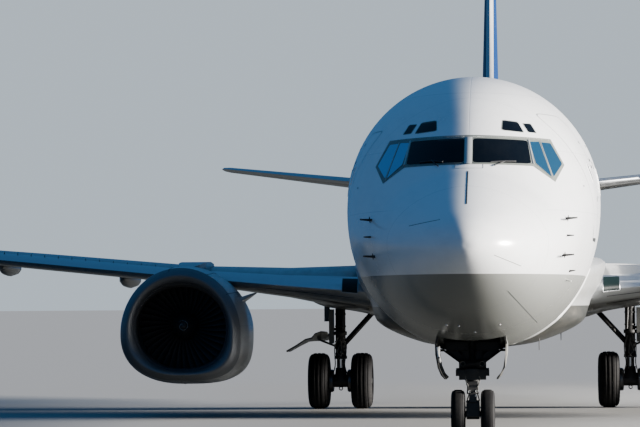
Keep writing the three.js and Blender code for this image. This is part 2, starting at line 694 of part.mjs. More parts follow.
// The fan in one skin. Front and back outlines run round the hub and up and down each blade, four
// points a blade, and the spinner's rings have one point a blade. Both faces of a twisted blade are
// split along the same diagonal, or they would pass through each other.
function fanSolid() {
  const { station, blades, hub, tip } = FAN;
  const middle = at(ENGINE.lip + station);
  const sweep = (FAN.rootChord * Math.sin(THREE.MathUtils.degToRad(FAN.rootAngle))) / 2 / hub;
  const corner = (blade, radius, chord, angle, thick, along, side) => {
    const lean = THREE.MathUtils.degToRad(angle);
    const across = (along * chord * Math.sin(lean)) / 2 + (side * thick) / 2;
    const turn = (2 * Math.PI * blade) / blades + across / radius;
    return [
      ENGINE.x + radius * Math.sin(turn),
      middle + (along * chord * Math.cos(lean)) / 2,
      ENGINE.z + radius * Math.cos(turn),
    ];
  };
  const outline = (along) =>
    Array.from({ length: blades }, (_, blade) => {
      const root = (side) => corner(blade, hub, FAN.rootChord, FAN.rootAngle, FAN.rootThick, along, side);
      const end = (side) => corner(blade, tip, FAN.tipChord, FAN.tipAngle, FAN.tipThick, along, side);
      return [root(-1), end(-1), end(1), root(1)];
    }).flat();
  const [front, back] = [outline(-1), outline(1)];
  const around = front.length;
  const rings = FAN.spinner.map(([radius, ahead]) =>
    Array.from({ length: blades }, (_, i) => {
      const turn = (2 * Math.PI * i) / blades - sweep;
      return [ENGINE.x + radius * Math.sin(turn), middle - ahead, ENGINE.z + radius * Math.cos(turn)];
    }),
  );
  const nose = [ENGINE.x, middle - FAN.noseAhead, ENGINE.z];
  const rear = [ENGINE.x, back[0][1], ENGINE.z];
  const positions = [...front, ...back, ...rings.flat(), nose, rear];
  const [noseIndex, rearIndex] = [positions.length - 2, positions.length - 1];
  const indices = [];
  for (let j = 0; j < around; j++) {
    const next = (j + 1) % around;
    const otherFace = j % 4 === 2;
    if (otherFace) indices.push(j, next, around + j, next, around + next, around + j);
    else indices.push(j, next, around + next, j, around + next, around + j);
  }
  for (let i = 0; i < blades; i++) {
    const root = 4 * i;
    const [end, otherEnd, otherRoot] = [root + 1, root + 2, root + 3];
    const nextRoot = (root + 4) % around;
    const ring = (k, blade) => 2 * around + k * blades + (blade % blades);
    indices.push(root, otherEnd, end, root, otherRoot, otherEnd);
    const [backRoot, backOther, backNext] = [root + around, otherRoot + around, nextRoot + around];
    indices.push(backRoot, end + around, otherEnd + around, backRoot, otherEnd + around, backOther);
    indices.push(rearIndex, backRoot, backOther, rearIndex, backOther, backNext);
    indices.push(ring(0, i), otherRoot, root, nextRoot, otherRoot, ring(0, i));
    indices.push(nextRoot, ring(0, i), ring(0, i + 1));
    for (let k = 0; k + 1 < rings.length; k++) {
      indices.push(ring(k, i + 1), ring(k, i), ring(k + 1, i));
      indices.push(ring(k, i + 1), ring(k + 1, i), ring(k + 1, i + 1));
    }
    indices.push(ring(rings.length - 1, i + 1), ring(rings.length - 1, i), noseIndex);
  }
  const geometry = new THREE.BufferGeometry();
  geometry.setAttribute("position", new THREE.Float32BufferAttribute(positions.flat(), 3));
  geometry.setIndex(indices);
  return solid(geometry);
}

// The engine's core with its nozzle and plug, and the vanes that hold it in the duct.
function coreSolid() {
  const { spigot, struts, vaneReach } = CORE;
  const vane = box(
    [ENGINE.x - 15, at(ENGINE.lip + 1250), ENGINE.z + 400],
    [ENGINE.x + 15, at(ENGINE.lip + 1500), ENGINE.z + vaneReach],
  );
  let core = coreBody(0);
  for (let i = 0; i < struts; i++) {
    const turn = new THREE.Matrix4().makeTranslation(-ENGINE.x, 0, -ENGINE.z);
    turn.premultiply(new THREE.Matrix4().makeRotationY((2 * Math.PI * (i + 0.5)) / struts));
    turn.premultiply(new THREE.Matrix4().makeTranslation(ENGINE.x, 0, ENGINE.z));
    core = core.add(solid(geometryOf(vane).applyMatrix4(turn)));
  }
  const back = FAN.station + (FAN.rootChord * Math.cos(THREE.MathUtils.degToRad(FAN.rootAngle))) / 2;
  return core.add(turned([[back + PIN, 0], [back + PIN, spigot], [1200, spigot], [1200, 0]], CORE.sides));
}

function coreBody(grow) {
  const { shell, nozzleWall, plugSeat, plug, sides } = CORE;
  const [nozzleAft, nozzleRadius] = shell.at(-1);
  return turned(
    [
      [shell[0][0] - grow, 0],
      [shell[0][0] - grow, shell[0][1] + grow],
      ...shell.slice(1).map(([aft, radius]) => [aft, radius + grow]),
      [nozzleAft, nozzleRadius - nozzleWall],
      [plugSeat, nozzleRadius + 20],
      ...plug,
      [plug.at(-1)[0] + 12, 0],
    ],
    sides,
  );
}

function pylonSolid(grow) {
  const { side, plan, width } = PYLON;
  const plate = prismSide(spread(side, grow), ENGINE.x, width);
  const outline = [
    ...plan.map(([s, half]) => [ENGINE.x + half, s]),
    ...plan.slice(1).reverse().map(([s, half]) => [ENGINE.x - half, s]),
  ];
  return plate.intersect(prismUp(spread(outline, grow), 1500, 3200));
}

// Corners of a closed outline moved out square to its edges, whichever way the corners run.
function spread(corners, distance) {
  if (distance === 0) return corners;
  const count = corners.length;
  const area = corners.reduce((sum, [x, y], i) => {
    const [nx, ny] = corners[(i + 1) % count];
    return sum + x * ny - nx * y;
  }, 0);
  const outward = Math.sign(area) * distance;
  const normal = (from, to) => {
    const [dx, dy] = [to[0] - from[0], to[1] - from[1]];
    const length = Math.hypot(dx, dy);
    return [dy / length, -dx / length];
  };
  return corners.map((corner, i) => {
    const before = normal(corners[(i + count - 1) % count], corner);
    const after = normal(corner, corners[(i + 1) % count]);
    const share = 1 + before[0] * after[0] + before[1] * after[1];
    return corner.map((value, k) => value + (outward * (before[k] + after[k])) / share);
  });
}

// A tyre as a turned ring along X, centred at x.
function tyreSolid({ radius, width, rim, sides }, x, y, z) {
  const half = width / 2;
  const outline = [[rim, -half * 0.82], [radius * 0.78, -half], [radius * 0.94, -half * 0.88],
    [radius, -half * 0.5], [radius, half * 0.5], [radius * 0.94, half * 0.88], [radius * 0.78, half],
    [rim, half * 0.82], [rim, -half * 0.82]];
  const geometry = new THREE.LatheGeometry(outline.map(([r, along]) => new THREE.Vector2(r, along)), sides);
  return solid(geometry.rotateZ(-Math.PI / 2).rotateX(Math.PI / sides).translate(x, y, z));
}

// Both rims of a pair on their axle, turned as one piece.
function wheelsetSolid({ width, rim, sides }, spacing, axle, x, y, z) {
  const edge = rim - TOUCH;
  const half = width * 0.41;
  const disc = (centre, out) =>
    [[axle, centre - half * 0.85], [rim * 0.6, centre - half * 0.85], [edge, centre - half],
      [edge, centre + half], [rim * 0.84, centre + half * 0.4], [rim * 0.42, centre + half * 0.95]]
      .map(([r, along]) => [r, along * out]);
  const inboard = disc(spacing / 2, -1).reverse();
  const end = spacing / 2 + half * 0.95;
  const outline = [[0, -end], ...inboard, ...disc(spacing / 2, 1), [0, end]];
  const points = outline.map(([r, along]) => new THREE.Vector2(r, along));
  const geometry = new THREE.LatheGeometry(points, sides);
  return solid(geometry.rotateZ(-Math.PI / 2).rotateX(Math.PI / sides).translate(x, y, z));
}

function noseGearParts() {
  const { tyre, spacing, axle, strut, piston, lower, bay, door } = NOSE_GEAR;
  const y = at(NOSE_GEAR.station);
  const z = tyre.radius;
  const wall = bay.half - TOUCH;
  const [lugX, lugLow, lugHigh] = door.lug;
  const link = [[120, 1010], [lugX - TOUCH, lugLow], [lugX - TOUCH, lugHigh], [120, 1055]];
  const drag = [3350, 1700]; // station and height of the drag brace's top
  const leg = unite(
    rod([0, y, lower], [0, y, 1800], strut, strut, 18),
    rod([-wall, y, 1740], [wall, y, 1740], 48, 48, 12),
    box([-190, y - 150, 985], [190, y + 40, 1100]),
    box([-180, y - 110, lower], [180, y + 20, 905]),
    rod([-230, y - 100, 940], [230, y - 100, 940], 44, 44, 12),
    rod([0, y - 60, 1080], [0, at(drag[0]), drag[1]], 44, 44, 10),
    rod([-wall, at(drag[0]), drag[1]], [wall, at(drag[0]), drag[1]], 36, 36, 10),
    bothSides(prismFront(link, 3880, 3920)),
  );
  const eye = cut(
    rod([-88, y, z], [88, y, z], 78, 78, 20),
    rod([-95, y, z], [95, y, z], axle + PIN, axle + PIN, 20),
  );
  const upperLink = [[120, 790], [215, 760], [330, 590], [290, 560], [190, 700]];
  const lowerLink = [[330, 600], [290, 560], [50, 372], [50, 420], [240, 590]];
  const aftOf = (corners) => corners.map(([aft, up]) => [NOSE_GEAR.station + aft, up]);
  const fork = unite(
    rod([0, y, lower - TOUCH], [0, y, 735], strut + 10, strut + 10, 18),
    rod([0, y, 740], [0, y, z + 55], piston, piston, 18),
    eye,
    box([-34, y + 60, 760], [34, y + 200, 790]),
    prismSide(aftOf(upperLink), 0, 60),
    prismSide(aftOf(lowerLink), 0, 50),
  );
  const wheelset = wheelsetSolid(tyre, spacing, axle, 0, y, z);
  const tyres = [-1, 1].map((side) => tyreSolid(tyre, (side * spacing) / 2, y, z));
  return { leg, fork, wheelset, tyres, door: noseDoorSolid(door) };
}

// The left bay door, hanging open beside the bay and curved like the belly it closes.
function noseDoorSolid({ outline, thick, front, back, lug }) {
  const inside = outline.map(([x, z]) => [x - thick, z]).reverse();
  const [lugX, lugLow, lugHigh] = lug;
  const plate = cut(prismFront([...outline, ...inside], front, back), bodySolid(1200, 8000, TOUCH));
  return plate.add(box([lugX, at(3880), lugLow], [outline[1][0] - thick / 2, at(3920), lugHigh]));
}

// The main strut with its trunnion, or the room it needs when grown.
function mainLegSolid(grow) {
  const { strut, lower, trunnion, collars, x } = MAIN_GEAR;
  const y = at(MAIN_GEAR.station);
  const reach = MAIN_GEAR.well.slot - TOUCH;
  const collar = strut + 24 + grow;
  return unite(
    rod([x, y, lower - grow], [x, y, trunnion + grow], strut + grow, strut + grow, 20),
    rod([x, y - reach, trunnion], [x, y + reach, trunnion], 70 + grow, 70 + grow, 12),
    ...collars.map(([low, high]) => rod([x, y, low - grow], [x, y, high + grow], collar, collar, 20)),
  );
}

function mainGearParts() {
  const { tyre, spacing, axle, piston, lower, x } = MAIN_GEAR;
  const y = at(MAIN_GEAR.station);
  const z = tyre.radius;
  const link = [[60, 560], [90, 600], [330, 760], [300, 800], [60, 640]];
  const carrier = cut(
    unite(
      rod([x, y, lower - TOUCH], [x, y, z], piston, piston, 20),
      rod([x - 140, y, z], [x + 140, y, z], 118, 118, 20),
      rod([x, y, z], [x, y, z + 235], 118, 92, 20),
      prismSide(link.map(([aft, up]) => [MAIN_GEAR.station + aft, up]), x, 90),
    ),
    rod([x - 150, y, z], [x + 150, y, z], axle + PIN, axle + PIN, 24),
  );
  return {
    leg: mainLegSolid(0),
    carrier,
    wheelset: wheelsetSolid(tyre, spacing, axle, x, y, z),
    inner: tyreSolid(tyre, x - spacing / 2, y, z),
    outer: tyreSolid(tyre, x + spacing / 2, y, z),
  };
}

// The side brace that runs from the leg up to the wall of the slot beside the wheel well.
function mainBraceSolid() {
  const { x, brace, well } = MAIN_GEAR;
  const y = at(MAIN_GEAR.station) + brace.aft;
  const [topX, topZ] = brace.top;
  return cut(
    unite(
      rod([x - 60, y, brace.low], [topX, y, topZ], brace.radius, brace.radius, 12),
      rod([topX, y, topZ], [topX, y - brace.aft + well.slot - TOUCH, topZ], 42, 42, 12),
    ),
    mainLegSolid(TOUCH),
  );
}

// The strut's own door, carried outboard of the leg. It hangs lower behind than ahead.
function mainDoorSolid() {
  const { x, station, door } = MAIN_GEAR;
  const y = at(station);
  const ring = (column, place) => {
    const line = door.outline.map((row) => new THREE.Vector3(x + row[0], at(place), row[column]));
    const inside = door.outline.map(
      (row) => new THREE.Vector3(x + row[0] - 8, at(place), row[column] - door.thick),
    );
    return [...line, ...inside.reverse()];
  };
  const panel = skin([ring(1, station - door.ahead), ring(2, station + door.behind)]);
  const plates = door.plates.map(([from, to, low, high, ahead, behind]) =>
    box([x + from, y - ahead, low], [x + to, y + behind, high]),
  );
  const links = door.links.map(([low, out, aft, high, radius]) =>
    rod([x + 60, y, low], [x + out, y + aft, high], radius, radius, 10),
  );
  return cut(unite(panel, ...plates, ...links), mainLegSolid(TOUCH));
}

const aircraft = new THREE.Group();

function place(name, body, material, mirror = false) {
  const mesh = new THREE.Mesh(geometryOf(body), material);
  mesh.name = name;
  if (mirror) mesh.scale.x = -1;
  aircraft.add(mesh);
}

// A left-hand piece and its mirror image.
function placePair(name, body, material) {
  place(`${name}_left`, body, material);
  place(`${name}_right`, body, material, true);
}

const body = bodyParts();
place("fuselage", body.fuselage, PAINT);
place("radome", body.radome, PAINT);
place("belly_fairing", body.fairing, GREY_PAINT);
for (const [name, pane] of Object.entries(body.panes)) placePair(name, pane, GLASS);

const wing = wingParts();
placePair("wing", wing.fixed, GREY_PAINT);
placePair("flap_inner", wing.flaps.inner, GREY_PAINT);
placePair("flap_outer", wing.flaps.outer, GREY_PAINT);
placePair("aileron", wing.aileron, GREY_PAINT);

const tail = finParts();
place("fin", tail.fixed, BLUE_PAINT);
place("rudder", tail.rudder, BLUE_PAINT);

const tailplane = tailplaneParts();
placePair("tailplane", tailplane.fixed, GREY_PAINT);
placePair("elevator", tailplane.elevator, GREY_PAINT);

const casing = casingParts();
const pylon = cut(pylonSolid(0), foilSolid(WING, TOUCH), coreBody(TOUCH));
placePair("inlet_lip", casing.lip, BARE_METAL);
placePair("engine_cowl", casing.cowl, GREY_PAINT);
placePair("engine_core", coreSolid(), DARK_METAL);
placePair("fan", fanSolid(), DARK_METAL);
placePair("pylon", pylon, GREY_PAINT);

const nose = noseGearParts();
place("nose_leg", nose.leg, GEAR_PAINT);
place("nose_fork", nose.fork, GEAR_PAINT);
place("nose_wheelset", nose.wheelset, GEAR_PAINT);
place("nose_tyre_right", nose.tyres[0], RUBBER);
place("nose_tyre_left", nose.tyres[1], RUBBER);
placePair("nose_door", nose.door, PAINT);

const main = mainGearParts();
placePair("main_leg", main.leg, GEAR_PAINT);
placePair("main_carrier", main.carrier, GEAR_PAINT);
placePair("main_wheelset", main.wheelset, GEAR_PAINT);
placePair("main_tyre_inner", main.inner, RUBBER);
placePair("main_tyre_outer", main.outer, RUBBER);
placePair("main_brace", mainBraceSolid(), GEAR_PAINT);
placePair("main_door", mainDoorSolid(), GREY_PAINT);

export default aircraft;
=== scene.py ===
# A parked twin-engined narrow-body airliner: smooth skins, glass, paint and small fittings over the packed
# frame. Metres throughout. The nose points to -Y, the left wing to +X, the ground is z = 0.
# A station is a distance aft of the nose, and stationY gives its place in the frame.
import json
import math

import bmesh
import bpy
import numpy as np
from mathutils import Matrix, Vector

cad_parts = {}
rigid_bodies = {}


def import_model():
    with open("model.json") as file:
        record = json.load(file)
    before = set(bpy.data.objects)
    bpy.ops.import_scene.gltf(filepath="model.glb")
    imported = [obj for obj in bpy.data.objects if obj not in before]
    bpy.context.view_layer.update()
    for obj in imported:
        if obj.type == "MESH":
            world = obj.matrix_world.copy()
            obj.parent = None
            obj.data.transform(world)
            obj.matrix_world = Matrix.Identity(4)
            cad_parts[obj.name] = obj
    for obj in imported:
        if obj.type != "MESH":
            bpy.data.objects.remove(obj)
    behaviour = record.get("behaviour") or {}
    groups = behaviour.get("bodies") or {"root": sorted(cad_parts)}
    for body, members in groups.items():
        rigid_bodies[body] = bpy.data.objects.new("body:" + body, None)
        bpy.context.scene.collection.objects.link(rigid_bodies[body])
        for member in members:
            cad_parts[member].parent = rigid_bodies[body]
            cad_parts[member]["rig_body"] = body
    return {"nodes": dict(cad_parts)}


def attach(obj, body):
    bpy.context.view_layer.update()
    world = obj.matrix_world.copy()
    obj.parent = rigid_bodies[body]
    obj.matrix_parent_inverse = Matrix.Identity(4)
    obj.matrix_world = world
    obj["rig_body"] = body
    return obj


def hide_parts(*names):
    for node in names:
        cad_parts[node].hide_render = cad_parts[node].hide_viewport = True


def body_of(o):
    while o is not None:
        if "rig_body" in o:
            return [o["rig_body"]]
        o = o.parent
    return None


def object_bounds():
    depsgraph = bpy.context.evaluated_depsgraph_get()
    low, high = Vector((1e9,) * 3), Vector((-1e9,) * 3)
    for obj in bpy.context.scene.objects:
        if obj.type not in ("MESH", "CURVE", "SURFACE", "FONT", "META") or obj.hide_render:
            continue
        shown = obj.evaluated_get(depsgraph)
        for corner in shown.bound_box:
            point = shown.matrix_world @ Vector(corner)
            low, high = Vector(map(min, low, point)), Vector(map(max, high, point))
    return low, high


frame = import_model()
cadBox = [list(corner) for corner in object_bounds()]
bodyLength = round(cadBox[1][1] - cadBox[0][1], 3)
print("frame loaded:", len(frame["nodes"]), "nodes, body length", bodyLength)

# Camera: found by fitting the aircraft's outline, 55.5 m ahead of its middle at eye height
camera = {
    "place": (0.77345, -55.51893, 1.87310),
    "yaw": -0.0676778,
    "pitch": 0.0301173,
    "roll": -0.0071833,
    "lens": 171.525,
}


def newObject(name, data):
    obj = bpy.data.objects.new(name, data)
    bpy.context.collection.objects.link(obj)
    return obj


def addCamera(look):
    data = bpy.data.cameras.new("camera")
    data.sensor_width = 36
    data.lens = look["lens"]
    data.clip_start, data.clip_end = 1, 3000
    yaw, pitch, roll = look["yaw"], look["pitch"], look["roll"]
    ahead = Vector((math.sin(yaw) * math.cos(pitch), math.cos(yaw) * math.cos(pitch), math.sin(pitch)))
    level = Vector((math.cos(yaw), -math.sin(yaw), 0))
    over = level.cross(ahead)
    right = math.cos(roll) * level + math.sin(roll) * over
    up = math.cos(roll) * over - math.sin(roll) * level
    turn = Matrix((right, up, -ahead)).transposed().to_4x4()
    obj = newObject("camera", data)
    obj.matrix_world = Matrix.Translation(look["place"]) @ turn
    bpy.context.scene.camera = obj


addCamera(camera)


def stationY(station):
    return station - bodyLength / 2


# Numbers between the rows of a table: a cubic through the rows that never overshoots,
# with each inner slope the weighted harmonic mean of the slopes on either side of it.
def between(rows, where):
    x, y = rows[:, 0], rows[:, 1:]
    gap = np.diff(x)[:, None]
    slope = np.diff(y, axis=0) / gap
    a, b, gapA, gapB = slope[:-1], slope[1:], gap[:-1], gap[1:]
    with np.errstate(divide="ignore", invalid="ignore"):
        mean = 3 * (gapA + gapB) / ((2 * gapB + gapA) / a + (gapB + 2 * gapA) / b)
    tangent = np.vstack([slope[:1], np.where(a * b > 0, mean, 0), slope[-1:]])
    where = np.clip(where, x[0], x[-1])
    i = np.clip(np.searchsorted(x, where, side="right") - 1, 0, len(x) - 2)
    h = gap[i]
    t = (where - x[i])[..., None] / h
    return (
        (2 * t**3 - 3 * t**2 + 1) * y[i]
        + (t**3 - 2 * t**2 + t) * h * tangent[i]
        + (3 * t**2 - 2 * t**3) * y[i + 1]
        + (t**3 - t**2) * h * tangent[i + 1]
    )


# The power of a number's size, with the number's own sign
def signedPower(value, power):
    return np.sign(value) * np.abs(value) ** power


# Even steps round a full turn
def circle(count):
    return np.linspace(0, 2 * np.pi, count, endpoint=False)


# Quads of a batch of grids with rows x cols points each. A wrapped direction closes on itself.
def gridPart(points, wrapRows=False, wrapCols=False, capStart=False, capEnd=False):
    *batch, rows, cols, _ = points.shape
    count = int(np.prod(batch)) if batch else 1
    r = np.arange(rows if wrapRows else rows - 1)[:, None]
    c = np.arange(cols if wrapCols else cols - 1)[None, :]
    below, beside = (r + 1) % rows * cols, (c + 1) % cols
    quads = np.stack([r * cols + c, r * cols + beside, below + beside, below + c], -1).reshape(-1, 4)
    start = np.arange(count)[:, None] * rows * cols
    faces = [(start[:, :, None] + quads).reshape(-1, 4)]
    if capStart:
        faces.append(start + np.arange(cols)[None, ::-1])
    if capEnd:
        faces.append(start + (rows - 1) * cols + np.arange(cols)[None, :])
    return points.reshape(-1, 3), faces


# Rings closed on themselves, with a face over the first and the last
def cappedPart(points):
    return gridPart(points, wrapCols=True, capStart=True, capEnd=True)


# Rings closed on themselves, the last joined to the first
def loopPart(points):
    return gridPart(points, wrapRows=True, wrapCols=True)


# Several parts as one: the faces of each count on from the points of those before it.
def joined(parts):
    moved, total = [], 0
    for points, faces in parts:
        moved.append((points, [block + total for block in faces]))
        total += len(points)
    return np.concatenate([points for points, _ in moved]), [block for _, faces in moved for block in faces]


def mirroredPart(part):
    return part[0] * [-1, 1, 1], part[1]


# The part as given on the left, and its mirror image on the right
def sidePart(part, sign):
    return part if sign > 0 else mirroredPart(part)


# Puts a part in the scene, with a material named by its key. A closed part has its faces turned outwards; a
# sheet faces the given way. stands names the nodes that it stands in for, and sharp is the angle past which
# an edge isn't shaded smooth.
def addPiece(name, part, material, body="airframe", stands=(), sharp=35,
             facing=None):
    points, faces = part
    mesh = bpy.data.meshes.new(name)
    mesh.from_pydata(points.tolist(), [], [face for block in faces for face in block.tolist()])
    shape = bmesh.new()
    shape.from_mesh(mesh)
    bmesh.ops.remove_doubles(shape, verts=shape.verts, dist=1e-5)
    bmesh.ops.recalc_face_normals(shape, faces=shape.faces)
    if facing is not None:
        shape.normal_update()
        total = sum((face.normal * face.calc_area() for face in shape.faces), Vector())
        if total.dot(Vector(facing)) < 0:
            bmesh.ops.reverse_faces(shape, faces=shape.faces)
    shape.to_mesh(mesh)
    shape.free()
    mesh.shade_smooth()
    mesh.set_sharp_from_angle(angle=math.radians(sharp))
    return dress(newObject(name, mesh), material, body, stands)


def dress(obj, material, body, stands=()):
    obj.data.materials.clear()
    obj.data.materials.append(mats[material])
    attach(obj, body)
    if stands:
        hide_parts(*stands)
    return obj


def sides():
    return (("left", 1), ("right", -1))


# A part and its mirror image as two pieces, the left one as given.
def addPair(name, part, material, body="airframe", stands=(), sharp=35,
            facing=None):
    for side, sign in sides():
        rides = body.replace("SIDE", side)
        nodes = [node.replace("SIDE", side) for node in stands]
        way = None if facing is None else (facing[0] * sign, facing[1], facing[2])
        addPiece(f"{name}_{side}", sidePart(part, sign), material, rides, nodes, sharp, way)


# A merged copy of a CAD node with soft shading, which stands in for it.
def smoothCopy(node, material, sharp=35):
    source = frame["nodes"][node]
    obj = source.copy()
    obj.data = source.data.copy()
    obj.name = f"{node}_skin"
    obj.hide_render = False
    obj.hide_viewport = False
    for key in list(obj.keys()):
        if key.startswith("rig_"):
            del obj[key]
    bpy.context.collection.objects.link(obj)
    shape = bmesh.new()
    shape.from_mesh(obj.data)
    bmesh.ops.remove_doubles(shape, verts=shape.verts, dist=2e-5)
    shape.to_mesh(obj.data)
    shape.free()
    obj.data.shade_smooth()
    obj.data.set_sharp_from_angle(angle=math.radians(sharp))
    body = body_of(source)[0]
    obj.parent = None
    return dress(obj, material, body, (node,))


# Gives the faces that don't look the given way the dark inside material: painted shade on the doors' insides.
def darkInside(obj, way, least):
    mesh = obj.data
    mesh.materials.append(mats["doorInside"])
    normals = np.empty(len(mesh.polygons) * 3)
    mesh.polygons.foreach_get("normal", normals)
    turned = normals.reshape(-1, 3) @ np.array(way) < least
    mesh.polygons.foreach_set("material_index", turned.astype(np.int32))


# Moves every point of a piece outwards along its normal.
def swell(obj, distance):
    mesh = obj.data
    place, way = np.empty(len(mesh.vertices) * 3), np.empty(len(mesh.vertices) * 3)
    mesh.vertices.foreach_get("co", place)
    mesh.vertices.foreach_get("normal", way)
    mesh.vertices.foreach_set("co", place + distance * way)
    mesh.update()


# A round bar along a path of points: each ring is a circle square to the path's direction there.
def tubePart(path, radius, around=10):
    path = np.asarray(path, float)
    radius = np.broadcast_to(np.asarray(radius, float), len(path))
    ahead = np.gradient(path, axis=0)
    ahead /= np.linalg.norm(ahead, axis=1, keepdims=True)
    hint = np.where(np.abs(ahead[:, 2:3]) < 0.9, [[0, 0, 1.0]], [[1.0, 0, 0]])
    across = np.cross(ahead, hint)
    across /= np.linalg.norm(across, axis=1, keepdims=True)
    over = np.cross(across, ahead)
    turn = circle(around)[None, :, None]
    ring = np.cos(turn) * across[:, None] + np.sin(turn) * over[:, None]
    return cappedPart(path[:, None] + radius[:, None, None] * ring)


# Points along a smooth path through a few given ones.
def softPath(points, count=12):
    points = np.asarray(points, float)
    along = np.concatenate([[0], np.cumsum(np.linalg.norm(np.diff(points, axis=0), axis=1))])
    return between(np.column_stack([along, points]), np.linspace(0, along[-1], count))


# A turned shape along X: each row of the profile is [distance along X, radius].
def turnedPart(profile, centre, around=48):
    profile = np.asarray(profile, float)
    turn = circle(around)
    along, radius = profile[:, :1], profile[:, 1:]
    points = np.stack([along + 0 * turn, radius * np.sin(turn), radius * np.cos(turn)], -1)
    return loopPart(points + np.asarray(centre))


# A turned shape that looks ahead: each row is a distance ahead of the given place, and a radius, which may
# be taller than wide.
def turnedAhead(rows, x, y, z, around, tall=1.0):
    rows = np.asarray(rows, float)
    turn = circle(around)
    px = x + rows[:, 1:] * np.sin(turn)
    pz = z + tall * rows[:, 1:] * np.cos(turn)
    return cappedPart(np.stack([px, y - rows[:, :1] + 0 * px, pz], -1))


# A shader node with its inputs: a value is set on the socket, an output of another node is linked to it.
def node(tree, kind, inputs=None, **settings):
    made = tree.nodes.new(kind)
    for key, value in settings.items():
        setattr(made, key, value)
    for key, value in (inputs or {}).items():
        feed(tree, made.inputs[key], value)
    return made


def feed(tree, socket, value):
    if isinstance(value, bpy.types.NodeSocket):
        tree.links.new(value, socket)
    else:
        socket.default_value = value


def calc(tree, operation, a, b=0.0, clamp=False):
    made = node(tree, "ShaderNodeMath", {0: a, 1: b}, operation=operation, use_clamp=clamp)
    return made.outputs[0]


# One minus a mask
def reverse(tree, mask):
    return calc(tree, "SUBTRACT", 1.0, mask)


# A step from 0 to 1 where the value passes an edge, softened over a small band.
def stepMask(tree, value, edge, soft=0.004):
    band = {0: value, 1: edge, 2: edge + soft, 3: 0.0, 4: 1.0}
    return node(tree, "ShaderNodeMapRange", band, clamp=True).outputs[0]


def noise(tree, place, scale, detail, roughness=0.5):
    inputs = {"Vector": place, "Scale": scale, "Detail": detail, "Roughness": roughness}
    return node(tree, "ShaderNodeTexNoise", inputs).outputs["Fac"]


def mixColour(tree, share, a, b):
    return node(tree, "ShaderNodeMix", {0: share, 6: a, 7: b}, data_type="RGBA").outputs[2]


def rgb(red, green, blue):
    return (red, green, blue, 1.0)


def newGroup(name, inputs, outputs):
    tree = bpy.data.node_groups.new(name, "ShaderNodeTree")
    for label, kind, value in inputs:
        socket = tree.interface.new_socket(label, in_out="INPUT", socket_type=kind)
        socket.default_value = value
    for label, kind in outputs:
        tree.interface.new_socket(label, in_out="OUTPUT", socket_type=kind)
    return tree, tree.nodes.new("NodeGroupInput"), tree.nodes.new("NodeGroupOutput")


def useGroup(tree, group, inputs):
    return node(tree, "ShaderNodeGroup", inputs, node_tree=group)


def objectPlace(tree):
    return node(tree, "ShaderNodeTexCoord").outputs["Object"]


# The three Object coordinates
def objectAxes(tree):
    return node(tree, "ShaderNodeSeparateXYZ", {0: objectPlace(tree)}).outputs


grimeLook = {
    # each noise's scale, detail and roughness, and how far the streaks are drawn out along each axis
    "clouds": (0.7, 6, 0.55),
    "streaks": (1.6, 5, 0.6),
    "speckle": (30, 3),
    "drawn": (5, 0.45, 5),
    # where clouds times streaks begins to be dirt, and over what band it turns into dirt alone
    "dirt": (0.2, 0.22),
    # how much rougher the dirt is, and how much the speckle changes the roughness
    "rougher": 0.35,
    "uneven": 0.06,
}


# Grime: broad clouds, streaks drawn out along the body and a fine speckle, all from Object coordinates.
def makeGrimeGroup(look):
    tree, given, out = newGroup(
        "grime",
        [("Colour", "NodeSocketColor", rgb(0.8, 0.8, 0.8)),
         ("Dirt Colour", "NodeSocketColor", rgb(0.2, 0.18, 0.15)),
         ("Amount", "NodeSocketFloat", 0.2),
         ("Scale", "NodeSocketFloat", 1.0),
         ("Roughness", "NodeSocketFloat", 0.3)],
        [("Colour", "NodeSocketColor"), ("Roughness", "NodeSocketFloat"), ("Height", "NodeSocketFloat")],
    )
    size = {0: objectPlace(tree), "Scale": given.outputs["Scale"]}
    scaled = node(tree, "ShaderNodeVectorMath", size, operation="SCALE").outputs[0]
    drawn = node(tree, "ShaderNodeMapping", {"Vector": scaled, "Scale": look["drawn"]}).outputs[0]
    clouds = noise(tree, scaled, *look["clouds"])
    streaks = noise(tree, drawn, *look["streaks"])
    speckle = noise(tree, scaled, *look["speckle"])
    mask = stepMask(tree, calc(tree, "MULTIPLY", clouds, streaks), *look["dirt"])
    share = calc(tree, "MULTIPLY", mask, given.outputs["Amount"], clamp=True)
    colour = mixColour(tree, share, given.outputs["Colour"], given.outputs["Dirt Colour"])
    rough = calc(tree, "ADD", given.outputs["Roughness"], calc(tree, "MULTIPLY", share, look["rougher"]))
    fine = calc(tree, "MULTIPLY", calc(tree, "SUBTRACT", speckle, 0.5), look["uneven"])
    tree.links.new(colour, out.inputs["Colour"])
    tree.links.new(calc(tree, "ADD", rough, fine, clamp=True), out.inputs["Roughness"])
    tree.links.new(speckle, out.inputs["Height"])
    return tree


# Seams at even steps along one direction: 1 on the seam, 0 elsewhere.
def makeSeamGroup():
    tree, given, out = newGroup(
        "seams",
        [("Along", "NodeSocketFloat", 0.0), ("Start", "NodeSocketFloat", 0.0),
         ("Step", "NodeSocketFloat", 1.0), ("Width", "NodeSocketFloat", 0.01)],
        [("Mask", "NodeSocketFloat")],
    )
    along, start, step, width = (given.outputs[key] for key in ("Along", "Start", "Step", "Width"))
    steps = calc(tree, "DIVIDE", calc(tree, "SUBTRACT", along, start), step)
    middle = calc(tree, "ABSOLUTE", calc(tree, "SUBTRACT", calc(tree, "FRACT", steps), 0.5))
    distance = calc(tree, "MULTIPLY", calc(tree, "SUBTRACT", 0.5, middle), step)
    half = calc(tree, "MULTIPLY", width, 0.5)
    soft = calc(tree, "MULTIPLY", half, 1.6)
    mask = node(tree, "ShaderNodeMapRange", {0: distance, 1: half, 2: soft, 3: 1.0, 4: 0.0}, clamp=True)
    tree.links.new(mask.outputs[0], out.inputs["Mask"])
    return tree


